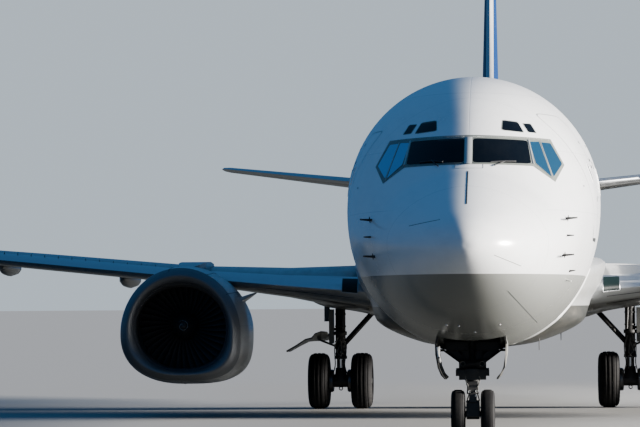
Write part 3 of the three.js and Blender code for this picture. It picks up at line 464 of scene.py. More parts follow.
grimeGroup = makeGrimeGroup(grimeLook)
seamGroup = makeSeamGroup()


def newMaterial(name):
    material = bpy.data.materials.new(name)
    material.use_nodes = True
    tree = material.node_tree
    shader = tree.nodes["Principled BSDF"]
    return material, tree, shader


# The grime group over a colour, feeding the shader's colour and roughness
def wearGrime(tree, shader, inputs):
    grime = useGroup(tree, grimeGroup, inputs)
    tree.links.new(grime.outputs["Colour"], shader.inputs["Base Color"])
    tree.links.new(grime.outputs["Roughness"], shader.inputs["Roughness"])
    return grime


def setShader(shader, **values):
    for key, value in values.items():
        shader.inputs[key.replace("_", " ")].default_value = value


def addBump(tree, shader, height, distance, strength=0.6):
    bump = node(tree, "ShaderNodeBump", {"Height": height, "Distance": distance, "Strength": strength})
    tree.links.new(bump.outputs[0], shader.inputs["Normal"])


# Body paint: white above a level line, grey below it, which darkens where the skin looks down as painted
# shade, skin joints every few frames, and light grime
bodyPaint = {
    "white": rgb(0.86, 0.87, 0.88),
    "grey": rgb(0.33, 0.34, 0.325),
    # the belly colour: a darker grey where the skin looks down, painted shade
    "belly": rgb(0.13, 0.135, 0.125),
    "seam": rgb(0.12, 0.13, 0.14),
    "line": 2.262,
    # how far a face has to look down to take the belly's painted shade, and the band that softens it
    "downShade": (0.3, 0.75),
    # joints round the body, and laps along it, which begin aft of the nose cone, over a band
    "frames": {"Start": -15.55, "Step": 2.54, "Width": 0.009},
    "laps": {"Start": 0.54, "Step": 0.86, "Width": 0.009},
    "lapsFrom": (-15.3, 0.4),
    # the joint over the cockpit: half width, and the height that it begins at, over a band
    "spine": {"half": 0.004, "from": (4.16, 0.02)},
    # how plain each kind of joint is, and how dark a joint gets at most
    "plain": {"frames": 0.6, "laps": 0.45, "spine": 0.5},
    "shade": 0.32,
    "grime": {"Amount": 0.1, "Scale": 0.8, "Roughness": 0.24},
    "coat": {"weight": 0.4, "roughness": 0.16},
}
seamBump = {"distance": 0.002, "strength": 0.5}


# How far a face looks up: 1 for up, -1 for down
def faceUp(tree):
    normal = node(tree, "ShaderNodeNewGeometry").outputs["Normal"]
    return node(tree, "ShaderNodeSeparateXYZ", {0: normal}).outputs[2]


# 1 where a face looks down by more than the given share, softened over a band
def lookingDown(tree, least, soft):
    return stepMask(tree, calc(tree, "MULTIPLY", faceUp(tree), -1.0), least, soft)


# Joints sunk a little into the skin
def sinkSeams(tree, shader, mask):
    addBump(tree, shader, reverse(tree, mask), seamBump["distance"], seamBump["strength"])


def bodyPaintMaterial(look):
    material, tree, shader = newMaterial("bodyPaint")
    x, y, z = objectAxes(tree)
    # painted shade: where the skin looks down the grey turns to the darker belly colour, and the coat fades
    downShade = lookingDown(tree, *look["downShade"])
    base = mixColour(tree, downShade, look["grey"], look["belly"])
    base = mixColour(tree, stepMask(tree, z, look["line"]), base, look["white"])
    frames = useGroup(tree, seamGroup, {"Along": y, **look["frames"]}).outputs[0]
    laps = useGroup(tree, seamGroup, {"Along": z, **look["laps"]}).outputs[0]
    laps = calc(tree, "MULTIPLY", laps, stepMask(tree, y, *look["lapsFrom"]))
    plain = look["plain"]
    seams = calc(tree, "MAXIMUM", calc(tree, "MULTIPLY", frames, plain["frames"]),
                 calc(tree, "MULTIPLY", laps, plain["laps"]))
    half = look["spine"]["half"]
    spine = reverse(tree, stepMask(tree, calc(tree, "ABSOLUTE", x), half, half))
    spine = calc(tree, "MULTIPLY", spine, stepMask(tree, z, *look["spine"]["from"]))
    seams = calc(tree, "MAXIMUM", seams, calc(tree, "MULTIPLY", spine, plain["spine"]))
    lined = mixColour(tree, calc(tree, "MULTIPLY", seams, look["shade"]), base, look["seam"])
    wearGrime(tree, shader, {"Colour": lined, **look["grime"]})
    sinkSeams(tree, shader, seams)
    setShader(shader, Coat_Roughness=look["coat"]["roughness"])
    coat = calc(tree, "MULTIPLY", reverse(tree, downShade), look["coat"]["weight"])
    tree.links.new(coat, shader.inputs["Coat Weight"])
    return material


# What every plain paint shares: its joints' colour, its bare edges' colour and how much rougher they are, how
# far a face has to look down to take the underside's painted shade with the band that softens it, and the
# coat's roughness
plainPaint = {
    "joint": rgb(0.06, 0.065, 0.07),
    "bare": rgb(0.56, 0.58, 0.6),
    "bareRougher": 0.1,
    "underside": (0.86, 0.1),
    "coatRoughness": 0.1,
}


# Plain paint with grime, and where the piece has them: joints, bare metal on the leading edge and painted
# shade, a darker colour on faces that look down. Each joint is an axis, its start, step and width, and how
# dark it is.
def paintMaterial(name, colour, amount=0.3, scale=1.0, roughness=0.3, edge=None, seams=(), coat=0.35,
                  shine=0.5, under=None):
    material, tree, shader = newMaterial(name)
    x, y, z = objectAxes(tree)
    base = colour
    # painted shade: faces that look down take the darker under colour
    if under:
        below = lookingDown(tree, *plainPaint["underside"])
        base = mixColour(tree, below, colour, under)
    mask = None
    for axis, start, step, width, strength in seams:
        along = {"x": calc(tree, "ABSOLUTE", x), "y": y, "z": z}[axis]
        made = useGroup(tree, seamGroup, {"Along": along, "Start": start, "Step": step, "Width": width})
        part = calc(tree, "MULTIPLY", made.outputs[0], strength)
        mask = part if mask is None else calc(tree, "MAXIMUM", mask, part)
    if mask is not None:
        base = mixColour(tree, mask, base, plainPaint["joint"])
        sinkSeams(tree, shader, mask)
    worn = {"Colour": base, "Amount": amount, "Scale": scale, "Roughness": roughness}
    grime = useGroup(tree, grimeGroup, worn).outputs
    finish, rough = grime["Colour"], grime["Roughness"]
    if edge:
        bare = reverse(tree, behindEdge(tree, x, y, z, edge))
        if under:
            bare = calc(tree, "MULTIPLY", bare, reverse(tree, below))
        finish = mixColour(tree, bare, finish, plainPaint["bare"])
        tree.links.new(bare, shader.inputs["Metallic"])
        rough = calc(tree, "ADD", rough, calc(tree, "MULTIPLY", bare, plainPaint["bareRougher"]))
    tree.links.new(finish, shader.inputs["Base Color"])
    tree.links.new(rough, shader.inputs["Roughness"])
    setShader(shader, Coat_Weight=coat, Coat_Roughness=plainPaint["coatRoughness"], Specular_IOR_Level=shine)
    return material


# 1 where a point of a swept surface lies behind the metal strip on its leading edge, 0 on the strip. The
# edge is the foremost of straight lines, each a y at zero span and a slope outwards.
def behindEdge(tree, x, y, z, edge):
    span = calc(tree, "ABSOLUTE", x) if edge["along"] == "x" else z
    lead = None
    for start, slope in edge["lines"]:
        line = calc(tree, "ADD", calc(tree, "MULTIPLY", span, slope), start)
        lead = line if lead is None else calc(tree, "MINIMUM", lead, line)
    return stepMask(tree, calc(tree, "SUBTRACT", y, lead), edge["depth"], 0.006)


def metalMaterial(name, colour, roughness, amount=0.2, metallic=1.0, grain=0.0):
    material, tree, shader = newMaterial(name)
    grime = wearGrime(tree, shader, {"Colour": colour, "Dirt Colour": rgb(0.1, 0.09, 0.08), "Amount": amount,
                                     "Scale": 2.0, "Roughness": roughness})
    setShader(shader, Metallic=metallic)
    if grain:
        addBump(tree, shader, grime.outputs["Height"], grain)
    return material


def glassMaterial(name, colour, roughness=0.06, shine=0.25, metal=0.0):
    material, tree, shader = newMaterial(name)
    wearGrime(tree, shader, {"Colour": colour, "Dirt Colour": rgb(0.03, 0.03, 0.03), "Amount": 0.05,
                             "Scale": 1.5, "Roughness": roughness})
    setShader(shader, Specular_IOR_Level=shine, Metallic=metal)
    return material


def rubberMaterial():
    material, tree, shader = newMaterial("tyreRubber")
    black, dust = rgb(0.008, 0.008, 0.009), rgb(0.05, 0.046, 0.042)
    grime = wearGrime(tree, shader, {"Colour": black, "Dirt Colour": dust, "Amount": 0.35, "Scale": 3.0,
                                     "Roughness": 0.78})
    addBump(tree, shader, grime.outputs["Height"], 0.002)
    setShader(shader, Specular_IOR_Level=0.2)
    return material


def lampMaterial(name, colour, strength):
    material, tree, shader = newMaterial(name)
    grime = useGroup(tree, grimeGroup, {"Colour": colour, "Amount": 0.05, "Roughness": 0.08})
    tree.links.new(grime.outputs["Colour"], shader.inputs["Base Color"])
    setShader(shader, Emission_Color=colour, Emission_Strength=strength, Coat_Weight=1.0, Roughness=0.1)
    return material


# The fairing's paint: silver above a level line, dull dark grey below it, which is part two-tone paint and
# part painted shade, and its panels' joints
fairingPaint = {
    "silver": rgb(0.34, 0.35, 0.355),
    "grey": rgb(0.045, 0.047, 0.045),
    "seam": rgb(0.06, 0.06, 0.065),
    # the line's height and the band that softens it
    "line": (1.84, 0.006),
    "joints": {"Start": -6.85, "Step": 1.52, "Width": 0.01},
    "shade": 0.35,
    "grime": {"Amount": 0.25, "Scale": 1.1, "Roughness": 0.32},
    "coat": {"Coat_Weight": 0.3, "Coat_Roughness": 0.1},
}


def fairingMaterial(look):
    material, tree, shader = newMaterial("fairingPaint")
    _, y, z = objectAxes(tree)
    # below the line: the dark grey, part paint and part painted shade
    lower = reverse(tree, stepMask(tree, z, *look["line"]))
    base = mixColour(tree, lower, look["silver"], look["grey"])
    joints = useGroup(tree, seamGroup, {"Along": y, **look["joints"]}).outputs[0]
    base = mixColour(tree, calc(tree, "MULTIPLY", joints, look["shade"]), base, look["seam"])
    wearGrime(tree, shader, {"Colour": base, **look["grime"]})
    sinkSeams(tree, shader, joints)
    setShader(shader, **look["coat"])
    return material


# The intake's liner: grey at its mouth, darkening towards the fan from the given y over the given length,
# which is painted shade deep in the intake
linerPaint = {"mouth": rgb(0.05, 0.053, 0.056), "deep": rgb(0.004, 0.004, 0.005), "from": -5.42, "over": 0.22}


def linerMaterial(look):
    material, tree, shader = newMaterial("ductLiner")
    _, y, _ = objectAxes(tree)
    # painted shade: the liner darkens towards the fan
    deep = stepMask(tree, y, look["from"], look["over"])
    base = mixColour(tree, deep, look["mouth"], look["deep"])
    wearGrime(tree, shader, {"Colour": base, "Amount": 0.2, "Scale": 3.0, "Roughness": 0.5})
    return material


# Bare metal strips on the leading edges: y at zero span and slope outwards of each line, and how deep the
# strip is
wingEdge = {"along": "x", "lines": [(-6.753, 0.7358), (-5.749, 0.533)], "depth": 0.3}
tailEdge = {"along": "x", "lines": [(11.473, 0.6211)], "depth": 0.16}
finEdge = {"along": "z", "lines": [(5.112, 0.8233), (-15.87, 4.127)], "depth": 0.17}

# Paint has a colour, the grime's amount and scale, and roughness. Metal has a colour, roughness, the grime's
# amount, metalness and grain. Glass has a colour, roughness, shine and metalness.
mats = {
    "body": bodyPaintMaterial(bodyPaint),
    # The wing's and the tail's under colours are painted shade on faces that look down.
    "wing": paintMaterial("wingPaint", rgb(0.24, 0.25, 0.255), 0.35, 1.2, 0.3, wingEdge,
                          seams=[("x", 5.9, 2.45, 0.012, 0.45)], under=rgb(0.055, 0.055, 0.053)),
    "tail": paintMaterial("tailPaint", rgb(0.27, 0.28, 0.285), 0.3, 1.2, 0.3, tailEdge,
                          under=rgb(0.14, 0.14, 0.14)),
    "fin": paintMaterial("finPaint", rgb(0.003, 0.023, 0.095), 0.03, 1.0, 0.4, finEdge, coat=0.0, shine=0.2),
    "cowl": paintMaterial("cowlPaint", rgb(0.21, 0.22, 0.23), 0.3, 1.4, 0.28,
                          seams=[("y", -4.0, 1.72, 0.012, 0.5), ("z", 1.545, 4.0, 0.012, 0.4)]),
    # the root fillets' near-black grey is painted shade under the wing root
    "underside": paintMaterial("shadedUnderPaint", rgb(0.045, 0.047, 0.045), 0.3, 1.5, 0.4, coat=0.1),
    "fairing": fairingMaterial(fairingPaint),
    "door": paintMaterial("doorPaint", rgb(0.17, 0.175, 0.17), 0.4, 2.0, 0.4, coat=0.1, shine=0.3),
    # the doors' dark inside colour is painted shade
    "doorInside": paintMaterial("doorInside", rgb(0.035, 0.036, 0.036), 0.4, 2.0, 0.6, coat=0.0, shine=0.2),
    "swirl": paintMaterial("swirlPaint", rgb(0.4, 0.4, 0.39), 0.2, 3.0, 0.5),
    "liner": linerMaterial(linerPaint),
    # the duct's near-black is painted shade deep inside the engine
    "duct": paintMaterial("ductPaintedShade", rgb(0.008, 0.008, 0.009), 0.1, 3.0, 0.7, coat=0.0, shine=0.1),
    # the lip's dark colour is bare metal darkened as painted shade
    "lipMetalShaded": metalMaterial("lipMetalShaded", rgb(0.14, 0.15, 0.165), 0.46, 0.12, 0.7),
    "darkMetal": metalMaterial("darkMetal", rgb(0.2, 0.2, 0.21), 0.38, 0.4, 0.9),
    # the blades' near-black is painted shade inside the intake
    "blade": metalMaterial("fanBlade", rgb(0.035, 0.036, 0.04), 0.45, 0.3, 0.6),
    "spinner": metalMaterial("spinnerPaint", rgb(0.018, 0.018, 0.02), 0.45, 0.2, 0.0),
    "chrome": metalMaterial("chrome", rgb(0.85, 0.86, 0.88), 0.06, 0.05),
    # the gear's near-black paint is painted shade on the legs
    "gear": metalMaterial("gearPaintedShade", rgb(0.028, 0.029, 0.03), 0.5, 0.4, 0.0, 0.001),
    "wheel": metalMaterial("wheelPaint", rgb(0.16, 0.162, 0.165), 0.42, 0.45, 0.2),
    "hose": metalMaterial("hose", rgb(0.14, 0.14, 0.135), 0.5, 0.4, 0.0),
    "edgeStrip": paintMaterial("edgeStrip", rgb(0.7, 0.71, 0.71), 0.2, 2.0, 0.4, coat=0.0),
    "white": metalMaterial("whiteFitting", rgb(0.75, 0.75, 0.73), 0.35, 0.2, 0.0),
    "frameMetal": metalMaterial("windowFrame", rgb(0.2, 0.215, 0.195), 0.42, 0.3, 0.2),
    "frameTrim": metalMaterial("windowTrim", rgb(0.5, 0.51, 0.5), 0.35, 0.2, 0.4),
    "glass": glassMaterial("cockpitGlass", rgb(0.002, 0.003, 0.005), 0.05, 0.06),
    # a blue, nearly mirror-like tint: a painted reflection of a blue sky
    "sideGlass": glassMaterial("sideGlass", rgb(0.17, 0.52, 0.74), 0.06, 0.3, 0.95),
    "cabinGlass": glassMaterial("cabinGlass", rgb(0.012, 0.017, 0.024), 0.1, 0.4),
    "lampGlass": glassMaterial("lampGlass", rgb(0.008, 0.016, 0.016), 0.32, 0.1),
    "seam": paintMaterial("darkSeam", rgb(0.03, 0.033, 0.036), 0.1, 1.0, 0.6, coat=0.0, shine=0.2),
    "softSeam": paintMaterial("doorSeam", rgb(0.3, 0.31, 0.32), 0.1, 1.0, 0.5),
    "black": metalMaterial("blackFitting", rgb(0.012, 0.012, 0.013), 0.5, 0.15, 0.0),
    "rubber": rubberMaterial(),
    "redLamp": lampMaterial("redLamp", rgb(0.5, 0.02, 0.02), 0.15),
    "greenLamp": lampMaterial("greenLamp", rgb(0.02, 0.4, 0.08), 0.15),
}
print("materials ready:", len(mats))

# The body: an egg-shaped section at each station, fuller or slimmer than an ellipse
bodyShape = {
    "tail": 32.18,
    "fullness": 2.12,
    "rows": 300,
    "around": 112,
    "noseEnd": 6.7,
    "sharp": 30,
    # station, top, bottom, half width, height of the widest line, roundness of the upper half
    "sections": np.array([
        [0, 2.64, 2.6, 0.02, 2.62, 2.0], [0.06, 2.806, 2.448, 0.235, 2.621, 2.0],
        [0.18, 2.93, 2.312, 0.42, 2.623, 1.97], [0.4, 3.06, 2.15, 0.64, 2.63, 1.92],
        [0.75, 3.24, 1.955, 0.868, 2.65, 1.86], [1.15, 3.425, 1.79, 1.06, 2.69, 1.8],
        [1.48, 3.565, 1.68, 1.19, 2.725, 1.76], [1.76, 3.68, 1.6, 1.285, 2.76, 1.73],
        [2.04, 3.86, 1.532, 1.368, 2.8, 1.7], [2.36, 4.07, 1.465, 1.45, 2.85, 1.68],
        [2.75, 4.305, 1.4, 1.532, 2.915, 1.7], [3.2, 4.54, 1.342, 1.612, 3.0, 1.75],
        [3.7, 4.755, 1.292, 1.69, 3.09, 1.81], [4.3, 4.95, 1.252, 1.762, 3.185, 1.88],
        [5.0, 5.105, 1.225, 1.796, 3.275, 1.95], [5.8, 5.2, 1.21, 1.842, 3.335, 2.0],
        [6.7, 5.23, 1.205, 1.87, 3.35, 2.0], [8.0, 5.23, 1.205, 1.88, 3.35, 2.0],
        [20.2, 5.23, 1.205, 1.88, 3.35, 2.0], [21.6, 5.23, 1.33, 1.876, 3.38, 2.0],
        [23.2, 5.226, 1.68, 1.828, 3.51, 2.0], [25.0, 5.212, 2.18, 1.69, 3.73, 2.0],
        [27.0, 5.176, 2.78, 1.4, 3.98, 2.0], [29.0, 5.1, 3.4, 0.975, 4.23, 2.0],
        [30.6, 5.0, 3.86, 0.61, 4.42, 2.0], [31.6, 4.91, 4.15, 0.37, 4.53, 2.0],
        [32.18, 4.83, 4.37, 0.23, 4.6, 2.0],
    ]),
}


# Top, bottom, half width, widest height, roundness above and below at each station. The table is read
# along the square root of the station, so that the nose is round and not a cone.
def bodySection(station):
    rows = bodyShape["sections"]
    table = np.column_stack([np.sqrt(rows[:, 0]), rows[:, 1:]])
    top, bottom, half, widest, above = np.moveaxis(between(table, np.sqrt(np.maximum(station, 0))), -1, 0)
    rise = np.clip((station - 1) / 4, 0, 1)
    below = 2 + (bodyShape["fullness"] - 2) * rise * rise * (3 - 2 * rise)
    return top, bottom, half, widest, above, below


# x = sin^(2/n) * half width, z = widest height + cos^(2/n) * reach, each keeping its sign.
def bodyPoint(station, angle):
    top, bottom, half, widest, above, below = bodySection(station)
    across, up = np.sin(angle), np.cos(angle)
    power = 2 / np.where(up > 0, above, below)
    reach = np.where(up > 0, top - widest, widest - bottom)
    x = signedPower(across, power) * half
    z = widest + signedPower(up, power) * reach
    return np.stack([x, stationY(station) + 0 * x, z], -1)


# The largest half width at a station. Then, for the upper or the lower half, whichever a height lies in: its
# roundness, and how far the height is from the widest line as a share of the way to the top or the bottom.
def bodyHalf(station, z):
    top, bottom, half, widest, above, below = bodySection(station)
    power = np.where(z > widest, above, below)
    reach = np.where(z > widest, top - widest, widest - bottom)
    return half, power, np.abs(z - widest) / reach


# Half width of the body at a height: half * (1 - share^n)^(1/n).
def bodyReach(station, z):
    half, power, share = bodyHalf(station, z)
    return half * (1 - np.clip(share, 0, 1) ** power) ** (1 / power)


# The station at which the nose passes through a point seen from ahead, by halving the range 40 times.
def noseStation(x, z):
    low, high = np.zeros_like(x), np.full_like(x, bodyShape["noseEnd"])
    for _ in range(40):
        middle = (low + high) / 2
        half, power, share = bodyHalf(middle, z)
        inside = (np.abs(x) / half) ** power + share**power < 1
        low, high = np.where(inside, low, middle), np.where(inside, middle, high)
    return high


# The point of the nose's skin behind a place seen from ahead, moved ahead by a distance
def onNose(x, z, ahead=0.0):
    return np.stack([x, stationY(noseStation(x, z)) - ahead, z], -1)


# A round line laid on the nose through places given across and up
def noseLine(flat, radius, around, ahead=0.0):
    return tubePart(onNose(flat[:, 0], flat[:, 1], ahead), radius, around)


# A straight pin that stands on the nose, tapering from the first radius to the second
def nosePin(place, way, length, thick, ahead=-0.01):
    path = onNose(*np.array(place), ahead) + np.outer(np.linspace(0, length, 5), way)
    return tubePart(path, np.linspace(*thick, 5), 10)


def boxCutter(name, low, high):
    shape = bmesh.new()
    bmesh.ops.create_cube(shape, size=1)
    size = [b - a for a, b in zip(low, high)]
    middle = [(a + b) / 2 for a, b in zip(low, high)]
    bmesh.ops.scale(shape, vec=size, verts=shape.verts)
    bmesh.ops.translate(shape, vec=middle, verts=shape.verts)
    return cutterObject(name, shape)


def drumCutter(name, x, y, low, high, radius):
    shape = bmesh.new()
    bmesh.ops.create_cone(shape, cap_ends=True, segments=64, radius1=radius, radius2=radius, depth=high - low)
    bmesh.ops.translate(shape, vec=(x, y, (low + high) / 2), verts=shape.verts)
    return cutterObject(name, shape)


def cutterObject(name, shape):
    mesh = bpy.data.meshes.new(name)
    shape.to_mesh(mesh)
    shape.free()
    return newObject(name, mesh)


# Cuts boxes and drums out of a piece and bakes the result into its mesh. Edges past the angle stay sharp.
def carve(obj, cutters, sharp):
    for cutter in cutters:
        made = obj.modifiers.new("cut", "BOOLEAN")
        made.object = cutter
        made.operation = "DIFFERENCE"
        made.solver = "EXACT"
    graph = bpy.context.evaluated_depsgraph_get()
    carved = bpy.data.meshes.new_from_object(obj.evaluated_get(graph))
    obj.modifiers.clear()
    materials = list(obj.data.materials)
    obj.data = carved
    obj.data.materials.clear()
    for material in materials:
        obj.data.materials.append(material)
    carved.set_sharp_from_angle(angle=math.radians(sharp))
    for cutter in cutters:
        bpy.data.objects.remove(cutter)


# The nose gear's bay and the main gear's wells: lowest and highest corners, and the drum that a wheel fills
wells = {
    "noseBay": ((-0.395, -13.8, 0.9), (0.395, -12.22, 1.96)),
    "drum": {"x": 1.06, "y": -0.24, "radius": 0.56, "low": 0.6, "high": 1.64},
    "legSlot": ((1.06, -0.43, 0.6), (2.785, -0.05, 2.15)),
}


def wheelWells():
    drum = wells["drum"]
    (x0, y0, z0), (x1, y1, z1) = wells["legSlot"]
    cutters = []
    for _, sign in sides():
        middle = sign * drum["x"]
        cutters.append(drumCutter("drum", middle, drum["y"], drum["low"], drum["high"], drum["radius"]))
        low, high = sorted((sign * x0, sign * x1))
        cutters.append(boxCutter("slot", (low, y0, z0), (high, y1, z1)))
    return cutters


def makeBody():
    station = np.linspace(0, math.sqrt(bodyShape["tail"]), bodyShape["rows"]) ** 2
    angle = circle(bodyShape["around"])
    points = bodyPoint(station[:, None], angle[None, :])
    part = cappedPart(points)
    sharp = bodyShape["sharp"]
    skin = addPiece("bodySkin", part, "body", stands=("fuselage", "radome"), sharp=sharp)
    carve(skin, [boxCutter("bay", *wells["noseBay"]), *wheelWells()], sharp)


makeBody()
print("body skin done")

# The fairing where wing and body meet
fairing = {
    "from": 9.0,
    "to": 19.6,
    "rows": 70,
    "around": 64,
    "sharp": 40,
    # one side from the top to the keel, as shares of the half width and of the shoulder's height
    "profile": np.array([[0, 1.1], [0.6, 1.1], [0.93, 1.07], [1, 1], [0.957, 0.77], [0.883, 0.585],
                         [0.848, 0.415], [0.83, 0.345], [0.755, 0.25], [0.7, 0.207], [0.58, 0.13],
                         [0.4, 0.05], [0.2, 0.012], [0, 0]]),
    # station, half width, shoulder height, keel height
    "sections": np.array([[9.0, 1.5, 2.3, 1.33], [9.9, 1.86, 2.44, 1.225], [10.8, 2.02, 2.51, 1.175],
                          [11.5, 2.06, 2.53, 1.158], [15.4, 2.06, 2.52, 1.152], [17.4, 2.04, 2.48, 1.162],
                          [18.6, 1.9, 2.4, 1.205], [19.6, 1.5, 2.3, 1.33]]),
    # the strip starts at this row of the profile, is as long as the fairing takes to stand proud by so much,
    # and is lifted away from a level axis
    "strip": {"row": 2, "proud": 0.045, "longest": 0.5, "aftmost": 12.0, "axis": 2.9},
}


# x = share across * half width, z = keel + share up * (shoulder - keel), along a smooth profile.
def fairingPoint(station, across, up):
    half, shoulder, keel = np.moveaxis(between(fairing["sections"], station), -1, 0)
    x, z = half * across, keel + (shoulder - keel) * up
    return np.stack([x, stationY(station) + 0 * x, z], -1)


# The station at which each line of the fairing comes out of the body, made larger by out. The range is
# halved 30 times.
def fairingStart(across, up, out):
    low, high = np.full_like(across, fairing["from"]), np.full_like(across, fairing["strip"]["aftmost"])
    for _ in range(30):
        middle = (low + high) / 2
        point = fairingPoint(middle, across, up)
        _, bottom, half, widest, _, below = bodySection(middle)
        share = np.abs(point[..., 0] / (half + out)) ** below
        share += (np.clip(widest - point[..., 2], 0, None) / (widest - bottom + out)) ** below
        low, high = np.where(share < 1, middle, low), np.where(share < 1, high, middle)
    return high


# The white strip that seals the fairing's front edge to the body: the fairing's own points from where it
# comes out of the body, lifted away from an axis at shares of the strip's depth.
def fairingStrip():
    look = fairing["strip"]
    across, up = softPath(fairing["profile"][look["row"]:], fairing["rows"]).T
    start = fairingStart(across, up, 0.0)
    end = np.minimum(fairingStart(across, up, look["proud"]), start + look["longest"])
    share, lift = np.array([[-0.15, -0.01], [0, -0.01], [0.06, 0.005], [0.94, 0.005], [1.0, -0.003]]).T
    station = start[:, None] + (end - start)[:, None] * share
    points = fairingPoint(station, across[:, None] + 0 * share, up[:, None] + 0 * share)
    outward = points - [0, 0, look["axis"]]
    outward[..., 1] = 0
    outward /= np.linalg.norm(outward, axis=-1, keepdims=True)
    return gridPart(points + outward * lift[:, None])


def makeFairing():
    station = np.linspace(fairing["from"], fairing["to"], fairing["rows"])[:, None]
    outline = softPath(fairing["profile"], fairing["around"])
    mirror = outline[1:-1][::-1] * [-1, 1]
    loop = np.concatenate([outline, mirror])
    part = cappedPart(fairingPoint(station, loop[:, 0], loop[:, 1]))
    addPair("fairing_strip", fairingStrip(), "edgeStrip", facing=(0.7, -0.7, -0.2))
    sharp = fairing["sharp"]
    skin = addPiece("fairingSkin", part, "fairing", stands=("belly_fairing",), sharp=sharp)
    carve(skin, wheelWells(), sharp)


makeFairing()
print("fairing done")

# Cockpit panes seen from ahead: across, up. They lie on one frame plate that stands a little proud of the
# skin.
cockpit = {
    "panes": {
        "windshield": [(0.056, 3.765), (0.056, 4.12), (0.794, 4.105), (0.845, 3.762)],
        "side_window": [(0.817, 4.09), (0.954, 4.099), (1.123, 3.579), (0.902, 3.774)],
        "rear_window": [(0.9755, 4.092), (1.11, 4.087), (1.268, 3.79), (1.143, 3.585)],
    },
    "eyebrows": [
        [(0.447, 4.252), (0.456, 4.401), (0.66, 4.381), (0.744, 4.226)],
        [(0.811, 4.234), (0.736, 4.362), (0.838, 4.363), (0.914, 4.23)],
    ],
    # across, up: the plate's upper and lower edge
    "plateTop": [(0, 4.17), (1.112, 4.15), (1.3, 3.775)],
    "plateLow": [(0, 3.745), (0.87, 3.728), (1.166, 3.517), (1.3, 3.775)],
    # light posts between the panes: across and up at both ends, radius
    "posts": [[(0.806, 4.112), (0.873, 3.757), 0.015], [(0.966, 4.106), (1.134, 3.57), 0.008]],
    "plateOut": 0.007,
    "plateSink": 0.012,
    "paneOut": 0.012,
    "browOut": 0.005,
    "postOut": 0.008,
    "trim": {"inside": 0.002, "outside": 0.007, "rise": 0.016},
    "browTrim": {"inside": 0.001, "outside": 0.008, "rise": 0.007, "perEdge": 8},
    "post": {"half": 0.052, "rise": 0.034, "sink": 0.006, "low": 3.75, "high": 4.14},
    "fasteners": {"count": 44, "first": 0.07, "step": 0.0235, "up": 4.142, "radius": 0.0065, "rise": 0.013},
}


# An outline moved outwards by a distance: each corner goes along the sum of its edges' normals,
# divided by one plus their dot product.
def spreadOutline(corners, distance):
    corners = np.asarray(corners, float)
    after = np.roll(corners, -1, axis=0) - corners
    area = np.sum(corners[:, 0] * np.roll(corners[:, 1], -1) - np.roll(corners[:, 0], -1) * corners[:, 1])
    normal = np.stack([after[:, 1], -after[:, 0]], -1) / np.linalg.norm(after, axis=1, keepdims=True)
    normal *= np.sign(area)
    before = np.roll(normal, 1, axis=0)
    share = 1 + np.sum(before * normal, axis=1, keepdims=True)
    return corners + distance * (before + normal) / share


# A four-cornered sheet on the nose: corners blended bilinearly, then pushed onto the skin from ahead.
# Its rim goes down into the skin.
def noseSheet(corners, out, sink=0.006, rows=14, cols=20):
    a, b, c, d = np.asarray(corners, float)
    u, v = withRim(cols)[None, :, None], withRim(rows)[:, None, None]
    flat = (1 - u) * ((1 - v) * a + v * b) + u * ((1 - v) * d + v * c)
    return onNose(flat[..., 0], flat[..., 1], rimLift(rows + 2, cols + 2, out, sink))


# Even steps from 0 to 1 with both ends given twice
def withRim(count):
    return np.concatenate([[0], np.linspace(0, 1, count), [1]])


# A sheet's height above the skin: the same all over, and below the skin along its rim
def rimLift(rows, cols, out, sink):
    lift = np.full((rows, cols), -sink)
    lift[1:-1, 1:-1] = out
    return lift


# A raised border round an outline: a low rounded section carried round the corners.
def noseBorder(corners, inside, outside, rise, perEdge=14):
    profile = np.array([[0, -0.02], [0, 0.5], [0.25, 1], [0.75, 1], [1, 0.4], [1, -0.02]])
    along = np.linspace(0, 1, perEdge, endpoint=False)[None, :, None]
    rings = []
    for share, height in profile:
        edge = spreadOutline(corners, -inside + share * (inside + outside))
        loop = (edge[:, None] + along * (np.roll(edge, -1, axis=0) - edge)[:, None]).reshape(-1, 2)
        loop = (np.roll(loop, 1, axis=0) + 2 * loop + np.roll(loop, -1, axis=0)) / 4
        rings.append(onNose(loop[:, 0], loop[:, 1], height * rise))
    return loopPart(np.stack(rings))


# The plate's height at a place across is blended between its lower and upper edge.
def framePlatePart():
    top, low = np.array(cockpit["plateTop"]), np.array(cockpit["plateLow"])
    half = np.unique(np.concatenate([np.linspace(0, top[-1, 0], 60), low[:, 0], top[:, 0]]))
    across = np.concatenate([-half[:0:-1], half])
    across = np.concatenate([across[:1], across, across[-1:]])
    share = withRim(24)[:, None]
    lower = np.interp(np.abs(across), low[:, 0], low[:, 1])
    upper = np.interp(np.abs(across), top[:, 0], top[:, 1])
    z = (1 - share) * lower + share * upper
    lift = rimLift(len(share), len(across), cockpit["plateOut"], cockpit["plateSink"])
    return gridPart(onNose(across + 0 * z, z, lift))


# The post between the windshields: a low ridge whose height falls off to both sides.
def postPart():
    look = cockpit["post"]
    share = np.array([-1, -0.96, -0.6, 0, 0.6, 0.96, 1])
    rise = np.array([-0.2, 0.5, 0.85, 1, 0.85, 0.5, -0.2]) * look["rise"]
    z = withRim(14)[:, None] * (look["high"] - look["low"]) + look["low"]
    lift = np.repeat(rise[None, :], len(z), axis=0)
    lift[[0, -1]] = -look["sink"]
    return gridPart(onNose(look["half"] * share + 0 * z, z + 0 * share, lift))


# Small domes on the nose at given places: radius falls and rise grows along a quarter circle.
def noseDomes(x, z, radius, rise, around=8):
    turn = circle(around)
    up = np.linspace(0, np.pi / 2 * 0.96, 4)[None, :, None]
    px = x[:, None, None] + radius * np.cos(up) * np.sin(turn)
    pz = z[:, None, None] + radius * np.cos(up) * np.cos(turn)
    middle = onNose(x, z)[:, None, None, 1]
    py = middle - rise * np.sin(up) + 0 * px
    return cappedPart(np.stack([px, py, pz], -1))


